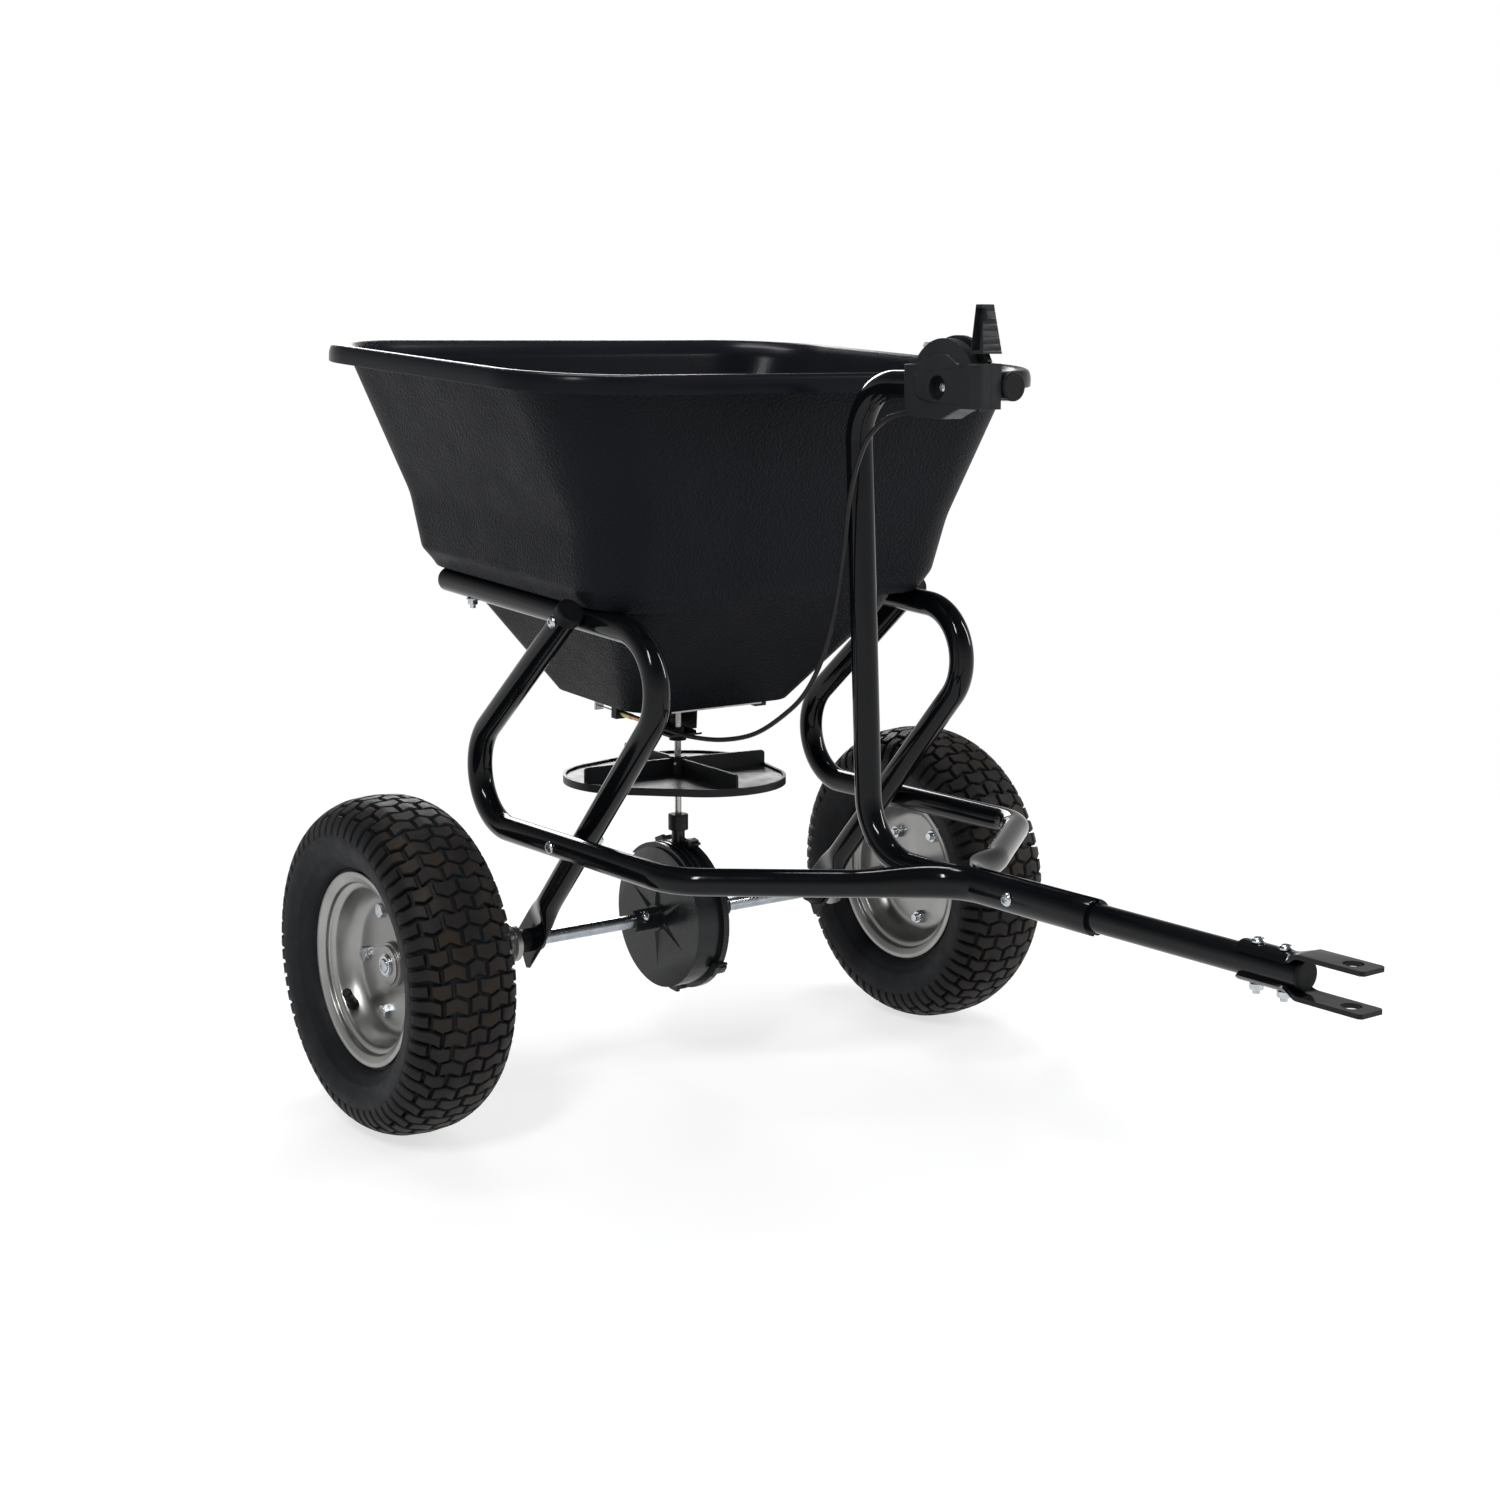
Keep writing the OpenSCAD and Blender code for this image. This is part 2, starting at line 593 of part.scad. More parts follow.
module axle() color(steel) put() difference() {
    union() {
        on_axle(-axle_half + 1) cylinder(h = 2 * axle_half - 2, d = axle_d);
        on_axle(axle_half - 1) cylinder(h = 1, d1 = axle_d, d2 = axle_d - 2);
        on_axle(-axle_half) cylinder(h = 1, d1 = axle_d - 2, d2 = axle_d);
    }
    for (s = [-1, 1]) on_axle(s * ring_x) difference() {
        translate([0, 0, -0.7]) cylinder(h = 1.4, d = axle_d + 2);
        translate([0, 0, -1]) cylinder(h = 2, d = axle_d - 1.4);
    }
    translate([drive_pin_x, 0, axle_z - 20]) cylinder(h = 40, r = drive_pin_d / 2 + 0.05);
    both_sides() at_screw() cylinder(h = 20, r = 2.55);
}

// Spring rings and washers that hold the wheels on.
ring_x = axle_half - 2;
module axle_rings() color(steel) put() both_sides() {
    on_axle(ring_x - 0.6) washer(axle_d + 6, axle_d - 1.2, 1.2);
    on_axle(ring_x - 2) washer(22, axle_d + 2 * run_c, 1.3);
}

// ---------- wheels ----------

// Tyre: an open C in section, its beads on the rim's seats.
tyre_r = tyre_d / 2;
tyre_h = tyre_w / 2;
module tyre() {
    f = rim_flange_r;
    o = [[rim_half - 4.4, f - 9], [rim_half - 2.2, f - 3], [rim_half - 2.1, f + 2], [rim_half + 5, f + 5.5], [tyre_h - 4.4, 113],
        [tyre_h - 0.6, 124], [tyre_h, 131], [tyre_h - 0.4, tyre_r - 28], [tyre_h - 3, tyre_r - 21.5],
        [tyre_h - 7, tyre_r - 15.5], [tyre_h - 13, tyre_r - 10.5], [tyre_h - 21, tyre_r - 5.7],
        [tyre_h - 33, tyre_r - 1.5]];
    i = [[rim_half - 9.5, f - 9], [rim_half - 10, f + 1], [rim_half - 2, f + 10], [tyre_h - 11, 118],
        [tyre_h - 7, 131], [tyre_h - 8, tyre_r - 27], [tyre_h - 13, tyre_r - 20],
        [tyre_h - 22, tyre_r - 13.7], [tyre_h - 34, tyre_r - 9.7]];
    h = concat([for (p = o) p], [[0, tyre_r]], [for (k = [len(o) - 1:-1:0]) [-o[k][0], o[k][1]]],
        [for (p = i) [-p[0], p[1]]], [[0, tyre_r - 9]], [for (k = [len(i) - 1:-1:0]) i[k]]);
    rotate_extrude($fn = 96) polygon([for (p = h) [p[1], p[0]]]);
}

module left_wheel() put() on_axle(-wheel_x) mirror([0, 0, 1]) children();
module right_wheel() put() on_axle(wheel_x) children();
module tyre_left() color(rubber) left_wheel() tyre();
module tyre_right() color(rubber) right_wheel() tyre();

// One pressed rim half, its outer face towards +Z, mated at z = 0.
disc_at = 0.1;
wheel_bolt_d = 8;
module rim_half_body(hand) {
    f = rim_flange_r;
    t = rim_t;
    w = well_r;
    p = [[hub_d / 2 + 0.1, disc_at], [w - 16, disc_at], [w - 11, disc_at + 1], [w - 6.8, disc_at + 4],
        [w - 3, 10], [w, 17.4], [w + 1.9, rim_half - 12.4], [w + 3.2, rim_half - 11], [f - 11.2, rim_half - 10.2],
        [f - 9.6, rim_half - 8.8], [f - 9.6, rim_half - 4], [f - 3.4, rim_half - 1.6],
        [f - 0.6, rim_half - 1.4], [f, rim_half], [f - 1, rim_half + 0.6], [f - 4.4, rim_half + 0.5],
        [f - 9.6 - t, rim_half - 3], [f - 9.6 - t, rim_half - 7.6], [f - 12.6 - t, rim_half - 8.6],
        [w + 2.4 - t, rim_half - 9.4], [w + 0.6 - t, rim_half - 11], [w - 1.2 - t, 17.8],
        [w - 3.8 - t, 11.2], [w - 7.6 - t, 6], [w - 11 - t, disc_at + t + 1], [w - 15 - t, disc_at + t],
        [hub_d / 2 + 0.1, disc_at + t]];
    mirror([0, 0, hand < 0 ? 1 : 0]) difference() {
        rotate_extrude($fn = 96) polygon(p);
        for (k = [0:4]) rotate(k * 72) translate([wheel_pcd / 2, 0, -5])
            cylinder(h = 20, r = wheel_bolt_d / 2 + bolt_c);
    }
}

// Turn of each wheel's bolts about the axle, at rest.
turn_left = 17.5;
turn_right = -5;
module left_turned() left_wheel() rotate(turn_left) children();
module right_turned() right_wheel() rotate(turn_right) children();
valve_turn = 30.3;
valve_z = 17.2;
module at_valve() rotate(valve_turn) translate([well_r - 1.7, 0, valve_z]) rotate([0, -60, 0]) children();

// The valve's hole through the outer half's well.
module valve_cut() at_valve() translate([0, 0, -12]) cylinder(h = 24, d = 9.6);
module rim_left_outer() color(steel) left_turned() difference() {
    rim_half_body(1);
    valve_cut();
}
module rim_left_inner() color(steel) left_turned() rim_half_body(-1);
module rim_right_outer() color(steel) right_turned() difference() {
    rim_half_body(1);
    valve_cut();
}
module rim_right_inner() color(steel) right_turned() rim_half_body(-1);

// Rubber snap-in valve: foot inside the tyre, stem and cap leaning inwards and out.
module valve() at_valve() rotate_extrude() polygon([[0, -7.4], [7, -7.4], [7, -4.6], [4.5, -4.2],
    [4.5, 3.4], [6.2, 3.8], [6, 7], [4.9, 13], [4.7, 24], [4.3, 24.4], [4.3, 25.4], [4.8, 25.9],
    [4.6, 36], [3.6, 37.4], [0, 37.6]]);
module valve_left() color(rubber) left_turned() valve();
module valve_right() color(rubber) right_turned() valve();

module wheel_bolts() for (k = [0:4]) rotate(k * 72) translate([wheel_pcd / 2, 0, 0]) {
    translate([0, 0, disc_at + rim_t + 0.05]) mirror([0, 0, 1])
        hex_bolt(2 * rim_t + 11, wheel_bolt_d, 13, 5.3);
    translate([0, 0, -disc_at - rim_t - 0.05]) mirror([0, 0, 1]) nut(13, 6.3, wheel_bolt_d);
}
module wheel_bolts_left() color(zinc) left_turned() wheel_bolts();
module wheel_bolts_right() color(zinc) right_turned() wheel_bolts();

// Hub: a long tube on the axle with a disc at each end, z measured from the wheel's middle outwards.
drive_pin_x = hub_in_x + 14;
drive_pin_d = 5;
hub_bore = axle_d / 2 + run_c;
module hub(pinned) {
    inner = hub_in_x - wheel_x;
    outer = ring_x - 2.1 - wheel_x;
    difference() {
        union() {
            translate([0, 0, inner]) cylinder(h = outer - inner - 1, d = hub_d);
            translate([0, 0, inner]) cylinder(h = 6, d = 38);
            translate([0, 0, disc_at + rim_t + 0.1]) cylinder(h = 4, d = 44);
            translate([0, 0, outer - 4]) cylinder(h = 4, d = 38);
        }
        translate([0, 0, inner - 1]) cylinder(h = outer - inner + 2, r = hub_bore);
        if (pinned) translate([0, 0, drive_pin_x - wheel_x]) rotate([90, 0, 0])
            cylinder(h = 40, r = drive_pin_d / 2 + 0.05, center = true);
    }
}
module hub_left() color(steel) left_wheel() hub(false);
module hub_right() color(steel) right_wheel() rotate(90) hub(true);

// Pin through the right hub and the axle: that wheel drives the gearbox.
module drive_pin() color(zinc) put() translate([drive_pin_x, 0, axle_z]) {
    cylinder(h = 36, d = drive_pin_d, center = true);
    translate([0, 0, 18]) cylinder(h = 2, d = 8);
}

// ---------- gearbox ----------

box_face = -27;
box_part = 5;
box_back = 17;
box_wall = 3;
flange_w = 5;
turret_z = 241;
collar_z = disc_z - 55;
pinion_low = 218.5;
pinion_h = 7;

module box_ring(x0, x1, ro, ri) on_axle(x0) difference() {
    cylinder(h = x1 - x0, r = ro);
    translate([0, 0, -1]) cylinder(h = x1 - x0 + 2, r = ri);
}

// Raised rays round the axle boss, tapering outwards.
module rays(face, dirn) for (k = [0:5]) on_axle(face) rotate(60 * k + 1)
    polyhedron(points = [[12, -4.2, dirn * -0.3], [12, 4.2, dirn * -0.3], [12, 0, dirn * 3.6],
        [57, 0, dirn * -0.3]],
        faces = dirn < 0 ? [[0, 1, 3], [0, 2, 1], [1, 2, 3], [0, 3, 2]]
            : [[0, 3, 1], [0, 1, 2], [1, 3, 2], [0, 2, 3]]);

// A hook clip over the parting flange at angle a.
module clip(a) translate([0, 0, axle_z]) rotate([a, 0, 0]) translate([0, 0, box_r + flange_w]) {
    translate([box_part - 9, -7, -2]) cube([8.9, 14, 4.8]);
    translate([box_part - 9, -7, 1]) cube([4, 14, 4.5]);
    translate([box_part - 1, -7, 0.3]) cube([8, 14, 2.5]);
    translate([box_part - 9, -4, 2.4]) cube([15.5, 8, 2.2]);
    translate([box_part + 3.9, -5, -2]) cube([2.6, 10, 3]);
}

module shaft_way(z0, z1) translate([0, 0, z0]) cylinder(h = z1 - z0, r = shaft_d / 2 + run_c);

module gearbox_left() color(black) put() difference() {
    union() {
        box_ring(box_face, box_face + box_wall, box_r, axle_d / 2);
        box_ring(box_face + 1, box_part - 3, box_r, box_r - box_wall);
        box_ring(box_part - 3.2, box_part - 0.05, box_r + flange_w, box_r - box_wall);
        box_ring(box_face - 4, box_face + 0.5, 14, axle_d / 2);
        rays(box_face, -1);
        // Turret for the upright shaft, with its stiffening bands.
        translate([0, 0, axle_z + box_r - 8]) cylinder(h = turret_z + 14 - axle_z - box_r + 8, d = 14);
        translate([-13, -16, axle_z + box_r - 8]) cube([box_part + 12.9, 32, 11]);
        for (x = [-24, -17, -10]) translate([x, 0, axle_z]) rotate([0, 90, 0]) difference() {
            cylinder(h = 3, r = box_r + 5);
            translate([0, 0, -1]) cylinder(h = 5, r = box_r - 1);
            translate([-60, -100, -1]) cube([200, 200, 5]);
        }
        clip(125);
        clip(-176);
        clip(-22);
        clip(12);
    }
    on_axle(-60) cylinder(h = 120, r = axle_d / 2 + run_c);
    shaft_way(200, 300);
    // Room for the pinion.
    translate([0, 0, pinion_low - 2]) cylinder(h = pinion_h + 3.5, r = pinion_pitch_r + 3.4);
}

module gearbox_right() color(black) put() difference() {
    union() {
        box_ring(box_part, box_part + 3.6, box_r + flange_w, box_r - 9);
        box_ring(box_part, box_back - 2, box_r - 6, box_r - 6 - box_wall);
        box_ring(box_back - box_wall, box_back, box_r - 8, axle_d / 2);
        box_ring(box_back - 0.5, box_back + 4, 14, axle_d / 2);
    }
    on_axle(-60) cylinder(h = 120, r = axle_d / 2 + run_c);
    translate([0, 0, axle_z + box_r - 9]) cylinder(h = 40, d = 14.2);
    shaft_way(200, 300);
    translate([0, 0, pinion_low - 2]) cylinder(h = pinion_h + 3.5, r = pinion_pitch_r + 3.4);
}

// Collars clamped on the axle beside the gearbox, each with its screw.
collar_in = 31.4;
collar_out = 60;
collar_screw_x = 49;
module at_screw() translate([collar_screw_x, 0, axle_z]) rotate([60, 0, 0]) children();
module gear_collars() color(black) put() both_sides() difference() {
    union() {
        on_axle(collar_in) cylinder(h = collar_out - collar_in, d = 22.5);
        at_screw() translate([0, 0, 9]) cylinder(h = 4, d = 13);
    }
    on_axle(collar_in - 1) cylinder(h = collar_out - collar_in + 2, r = axle_d / 2 + 0.05);
    at_screw() cylinder(h = 30, r = 2.55);
}

module collar_screws() color(zinc) put() both_sides() at_screw() translate([0, 0, 13.05])
    mirror([0, 0, 1]) pan_screw(11, 5, 9.6, 3.4);

// Crown gear: teeth stand off a ring towards +X; its hub is keyed to the axle.
crown_pitch_r = pinion_pitch_r * crown_teeth / pinion_teeth;
crown_back = -20;
crown_root = -pinion_pitch_r - 2.6;
crown_tip = -pinion_pitch_r + 1.9;
module crown_tooth() {
    h = 360 / crown_teeth;
    ri = crown_pitch_r - 5;
    ro = crown_pitch_r + 4.5;
    function at(r, a, x) = [r * cos(a), r * sin(a), x];
    a = [0.27 * h, 0.085 * h];
    skin([
        [at(ri, -a[0], crown_root - 0.3), at(ro, -a[0], crown_root - 0.3), at(ro, a[0], crown_root - 0.3),
            at(ri, a[0], crown_root - 0.3)],
        [at(ri, -a[1], crown_tip), at(ro, -a[1], crown_tip), at(ro, a[1], crown_tip),
            at(ri, a[1], crown_tip)]]);
}

module crown_gear() color(black) put() {
    difference() {
        union() {
            box_ring(crown_back, crown_root, crown_pitch_r + 5, crown_pitch_r - 6);
            box_ring(crown_back, crown_back + 3, crown_pitch_r - 5, axle_d / 2);
            box_ring(box_face + box_wall + 0.5, box_back - box_wall - 0.5, 12, axle_d / 2);
        }
        on_axle(-60) cylinder(h = 120, r = axle_d / 2 + 0.05);
    }
    on_axle(0) for (k = [0:crown_teeth - 1]) rotate(180 + (k + 0.5) * 360 / crown_teeth) crown_tooth();
}

// Pinion on the upright shaft, a tooth pointing at the crown's gap at rest.
module pinion() color(black) put() difference() {
    union() {
        translate([0, 0, pinion_low]) linear_extrude(pinion_h) {
            circle(r = pinion_pitch_r - 2.2);
            for (k = [0:pinion_teeth - 1]) rotate(180 + k * 360 / pinion_teeth)
                polygon([[pinion_pitch_r - 3, -1.7], [pinion_pitch_r - 2.2, -1.6], [pinion_pitch_r, -1.2],
                    [pinion_pitch_r + 1.8, -0.55], [pinion_pitch_r + 1.8, 0.55], [pinion_pitch_r, 1.2],
                    [pinion_pitch_r - 2.2, 1.6], [pinion_pitch_r - 3, 1.7]]);
        }
        translate([0, 0, pinion_low - 5]) cylinder(h = 5.1, d = 13);
    }
    translate([0, 0, pinion_low - 10]) cylinder(h = 30, r = shaft_d / 2 + 0.02);
}

module shaft_collar() color(black) put() translate([0, 0, collar_z]) difference() {
    cylinder(h = 16.5, d = 21);
    translate([0, 0, -1]) cylinder(h = 20, r = shaft_d / 2 + 0.02);
}

// ---------- spreading disc ----------

shaft_low = pinion_low - 6;
shaft_top = 442;
disc_turn = 44;
// Each vane's turn about the shaft and its reach.
vanes = [[-9, disc_side], [86, disc_side + 9], [176, disc_side + 9], [-94.5, disc_side + 16]];
pin_turn = 40;
disc_floor = disc_z + disc_h / 2 + 1.5;
pin_z = disc_floor + 11;

// Three-sided plate with wide corners: distance to each side, corner radius.
module disc_shape(side, r) {
    c = 2 * (side - r);
    // The sides cut the corners' circles by a hair.
    e = r - 0.15;
    function dir(a) = [cos(a), sin(a)];
    polygon([for (k = [0:2]) each [c * dir(120 * k) + e * dir(120 * k - 60),
        c * dir(120 * k) + e * dir(120 * k + 60)]]);
    for (k = [0:2]) translate(c * dir(120 * k)) circle(r = r);
}

module shaft() color(steel) put() difference() {
    union() {
        translate([0, 0, shaft_low]) cylinder(h = shaft_top - shaft_low - 1, d = shaft_d);
        translate([0, 0, shaft_top - 1]) cylinder(h = 1, d1 = shaft_d, d2 = shaft_d - 2);
    }
    for (p = [[pin_z, pin_turn], [agitator_z, 20]]) translate([0, 0, p[0]]) rotate(p[1])
        rotate([0, 90, 0]) cylinder(h = 20, r = cross_pin_d / 2 + 0.05, center = true);
}

module disc() color(black) put() difference() {
    union() {
        translate([0, 0, disc_floor - 2.5]) rotate(disc_turn) linear_extrude(2.5)
            disc_shape(disc_side - 0.5, disc_r - 0.5);
        translate([0, 0, disc_z]) rotate(disc_turn) linear_extrude(disc_h) difference() {
            disc_shape(disc_side, disc_r);
            disc_shape(disc_side - 3, disc_r - 3);
        }
        for (v = vanes) rotate(v[0]) translate([8, 0, disc_floor - 1])
            rotate([90, 0, 0]) linear_extrude(2.5, center = true) {
                square([v[1] - 8, vane_h - 3]);
                square([v[1] - 12, vane_h + 1]);
                translate([v[1] - 12, vane_h - 3]) circle(r = 4);
            }
        translate([0, 0, disc_floor - 8]) cylinder(h = 26, d = 18);
    }
    translate([0, 0, disc_z - 10]) cylinder(h = 50, r = shaft_d / 2 + 0.02);
    translate([0, 0, pin_z]) rotate(pin_turn) rotate([0, 90, 0])
        cylinder(h = 40, r = cross_pin_d / 2 + 0.05, center = true);
}

cross_pin_d = 3.2;
agitator_z = 432;
module disc_pin() color(steel) put() translate([0, 0, pin_z]) rotate(pin_turn) rotate([0, 90, 0])
    cylinder(h = 22, d = cross_pin_d, center = true);
module agitator() color(steel) put() translate([0, 0, agitator_z]) rotate(20) rotate([0, 90, 0])
    cylinder(h = 66, d = cross_pin_d, center = true);

// ---------- gate under the hopper ----------

rail_lip_z = floor_z - 6.6;
gate_z = floor_z - 3.1;
gate_half = 56;
wire_x = -70;
wire_z = floor_z - 14.5;
tab_y = 54;

module gate() color(steel) put() leaned() difference() {
    union() {
        translate([-gate_half, -56, gate_z]) cube([2 * gate_half, 118, 2.5]);
        translate([wire_x - 5, tab_y, gate_z]) cube([-wire_x + 12, 6, 2.5]);
        translate([wire_x - 5, tab_y, wire_z - 4]) cube([10, 2.5, gate_z - wire_z + 5]);
    }
    // Slot round the upright shaft, long enough for the whole travel.
    translate([-6, shaft_lean_y(gate_z) - 6, gate_z - 5]) cube([12, gate_travel + 12, 12]);
    for (s = [-1, 1]) translate([s * 35 - port_w / 2 + 1, port_y + gate_travel, gate_z - 5])
        cube([port_w - 2, port_d, 12]);
    translate([wire_x, tab_y - 5, wire_z]) rotate([-90, 0, 0]) cylinder(h = 20, d = 1.7);
}

// Guides either side of the gate, under the floor.
module gate_rails() color(black) put() leaned() both_sides() {
    translate([gate_half + 0.6, -52, rail_lip_z]) cube([8.4, 76, floor_z - rail_lip_z - 0.05]);
    translate([gate_half - 5, -52, rail_lip_z]) cube([9, 76, 3.1]);
}

bracket_t = 2.5;
bracket_web_y = 23;
bracket_low = 357;
module shaft_bracket() color(black) put() leaned() difference() {
    union() {
        translate([-gate_half - 8, 8, rail_lip_z - bracket_t - 0.05]) cube([2 * gate_half + 16, 17.5, bracket_t]);
        translate([-32, bracket_web_y, bracket_low]) cube([64, bracket_t, rail_lip_z - bracket_low - 0.05]);
        translate([-20, -3, bracket_low]) cube([40, bracket_web_y + 5, bracket_t]);
    }
    translate([0, shaft_lean_y(bracket_low), bracket_low]) rotate([-lean, 0, 0]) translate([0, 0, -9])
        cylinder(h = 20, d = 12.2);
    translate([0, shaft_lean_y(rail_lip_z), rail_lip_z - 10]) cylinder(h = 20, d = 12);
}

module shaft_bushing() color(rubber) put() {
    z = lean_pt([0, shaft_lean_y(bracket_low), bracket_low]).z;
    difference() {
        union() {
            translate([0, 0, z - 5]) cylinder(h = 12, d = 12);
            translate([0, 0, z - 6.7]) cylinder(h = 6, d = 18);
        }
        shaft_way(z - 20, z + 20);
    }
}

// Cable end: clip block on the rail, adjuster barrel, ferrule and the wire to the gate's tab.
clip_y = 14;
module cable_clip() color(black) put() leaned() difference() {
    union() {
        translate([wire_x - 6, clip_y, wire_z - 6]) cube([-wire_x + 6 - gate_half - 9.05, 9, 18]);
    }
    translate([wire_x, clip_y - 5, wire_z]) rotate([-90, 0, 0]) cylinder(h = 30, d = 3);
}
module bored(y0, y1, d) translate([wire_x, y0, wire_z]) rotate([-90, 0, 0]) difference() {
    cylinder(h = y1 - y0, d = d);
    translate([0, 0, -1]) cylinder(h = y1 - y0 + 2, d = 2.6);
}
module cable_barrel() color([0.75, 0.62, 0.2]) put() leaned() bored(clip_y - 20, clip_y - 0.05, 6);
module cable_ferrule() color([0.72, 0.42, 0.25]) put() leaned() bored(clip_y - 36, clip_y - 20.05, 5);
module gate_wire() color(steel) put() leaned() translate([wire_x, 12, wire_z]) rotate([-90, 0, 0])
    cylinder(h = tab_y + 5 - 12, d = 1.6);

// Control cable, from the lever's housing down past the mast to the ferrule.
cable_end = lean_pt([wire_x, clip_y - 36.1, wire_z]);
cable_pts = [[-24, -403, 698.4], [-24, -387, 697], [-24, -361, 691], [-23, -335, 674], [-22, -317, 647],
    [-22, -306, 612], [-23, -300, 567], [-27, -294, 518], [-33, -283, 471], [-40, -266, 436],
    [-47, -243, 413], [-55, -208, 391], [-62, -166, 380], [-67, -122, 377], [-70, -82, 379],
    cable_end + [0, -12, -0.76], cable_end];
// Smooth curve through the points, three steps between neighbours.
function cr(a, b, c, d, t) = 0.5 * (2 * b + (c - a) * t + (2 * a - 5 * b + 4 * c - d) * t * t
    + (3 * b - a - 3 * c + d) * t * t * t);
function at_pt(i) = cable_pts[max(0, min(len(cable_pts) - 1, i))];
cable_line = [for (i = [0:len(cable_pts) - 2]) for (k = [0:2]) cr(at_pt(i - 1), at_pt(i), at_pt(i + 1),
    at_pt(i + 2), k / 3), cable_end];
module control_cable() color(rubber) put() {
    n = len(cable_line);
    skin([for (i = [0:n - 1]) let (
        t = unit(cable_line[min(n - 1, i + 1)] - cable_line[max(0, i - 1)]),
        e = unit(cross([1, 0, 0], t)), f = cross(t, e))
        [for (k = [0:7]) cable_line[i] + cable_d / 2 * (e * cos(45 * k) + f * sin(45 * k))]]);
}

// ---------- control unit on the mast ----------

pivot_z = mast_z - 1.4;
near_x = -34;
slot_x = -24;
slot_w = 6;
base_x = -tube_r - 0.3;
body_back = 397;
body_front = 496;
body_low = 702;
body_top = 740;
// The dial's arcs are struck a little ahead of the lever's pivot.
dial_y = pivot_y + 4;
cheek_r = dial_r + 2.5;
stop_x = slot_x + 4;
stop_y = -dial_y + 34;

module at_pivot(x) translate([x, -pivot_y, pivot_z]) rotate([0, 90, 0]) children();
module at_dial(x) translate([x, -dial_y, pivot_z]) rotate([0, 90, 0]) children();

// Upper half of a dial cheek.
module cheek(x, h, r) difference() {
    at_dial(x) cylinder(h = h, r = r);
    translate([x - 1, -dial_y - 60, pivot_z - 60]) cube([h + 2, 120, 61]);
}

// Side outline: y forward as -y, a block with a belly at the rear.
module side_outline() {
    polygon([[-body_back, body_top - 1], [-body_back, 703], [-body_back - 3, 696.5],
        [-body_back - 8, 693.5], [-body_back - 50, 693], [-body_back - 62, 698.5],
        [-body_back - 72, body_low], [-body_front, body_low], [-body_front, body_top],
        [-body_back - 10, body_top]]);
}
module plate_x(x0, x1) translate([x0, 0, 0]) rotate([90, 0, 90]) linear_extrude(x1 - x0) children();

// Holes through cover and base: pivot, stop and the cable's way in.
module unit_holes() {
    at_pivot(near_x - 10) cylinder(h = 60, r = 2.6);
    translate([stop_x, stop_y, body_top - 12]) cylinder(h = 40, r = 2.6);
    translate([-24, -body_back - 12, 698.2]) rotate([-90, 0, 0]) cylinder(h = 40, d = cable_d + 1.2);
}

module control_housing() color(black) put() difference() {
    union() {
        plate_x(near_x, slot_x - 0.05) side_outline();
        cheek(near_x, slot_x - near_x - 0.05, dial_r);
        // Raised panel of the cover.
        plate_x(near_x - 1.6, near_x + 0.5) polygon([[-body_back - 14, 733], [-body_back - 12, 707],
            [-body_back - 50, 704.5], [-body_front + 8, 705], [-body_front + 8, 737],
            [-body_back - 70, 737]]);
    }
    at_pivot(near_x - 10) cylinder(h = 16, d = 20.5);
    unit_holes();
}

module control_base() color(black) put() difference() {
    union() {
        plate_x(slot_x, slot_x + slot_w + 0.5) difference() {
            side_outline();
            // The lever's chamber.
            translate([-pivot_y, pivot_z]) circle(r = 24);
            translate([-body_front + 3, pivot_z - 12]) square([body_front - 3 - pivot_y, 60]);
            translate([-pivot_y - 10, pivot_z]) square([28, 60]);
        }
        plate_x(slot_x + slot_w, base_x) side_outline();
        cheek(slot_x + slot_w, base_x - slot_x - slot_w, cheek_r);
    }
    unit_holes();
}

// Band round the mast that carries the unit.
module control_clamp() color(black) put() difference() {
    union() {
        translate([0, -pivot_y + 18, mast_z]) rotate([90, 0, 0]) cylinder(h = 36, r = tube_r + 3.4);
        translate([-4, -pivot_y - 18, mast_z - tube_r - 9]) cube([8, 36, 10]);
    }
    translate([0, -pivot_y + 40, mast_z]) rotate([90, 0, 0]) cylinder(h = 80, r = tube_r + 0.1);
    translate([-60, -pivot_y - 40, mast_z - 40]) cube([60 - tube_r - 0.25, 80, 80]);
}

module control_screw() color(zinc) put() at_pivot(near_x + 5.95)
    pan_screw(base_x - near_x - 6.2, 5, 9.6, 3);

// Adjustable stop that limits the lever's travel.
module stop_bolt() color(zinc) put() translate([stop_x, stop_y, body_top - 10]) {
    cylinder(h = 24, d = 5);
    translate([0, 0, 23.9]) hex(9, 4);
}

grip_low = 748;
lever_up = 31;
module lever() color(black) put() difference() {
    union() {
        at_pivot(slot_x + 0.6) cylinder(h = slot_w - 1.2, r = 22);
        translate([slot_x + 0.6, -pivot_y, pivot_z]) rotate([180 - lever_up, 0, 0]) translate([0, 0, -7])
            cube([slot_w - 1.2, 54, 14]);
        difference() {
            hull() {
                translate([-32, -494, grip_low]) cube([21, 16, 1]);
                translate([-27, -486.5, grip_low + grip_h - 1]) cube([13, 8, 1]);
            }
            // Hollow on the left-hand side.
            translate([-36, -489, grip_low + 3]) cube([13, 10, grip_h - 6]);
            // Finger ribs across the front.
            for (k = [0:6]) translate([-40, -495.3 + k * 5.4 * 0.184, grip_low + 3 + k * 5.4])
                rotate([0, 90, 0]) cylinder(h = 40, r = 1.9, $fn = 20);
            at_dial(-40) cylinder(h = 40, r = cheek_r + 0.7);
        }
    }
    at_pivot(slot_x - 10) cylinder(h = 30, r = 2.5 + run_c);
}

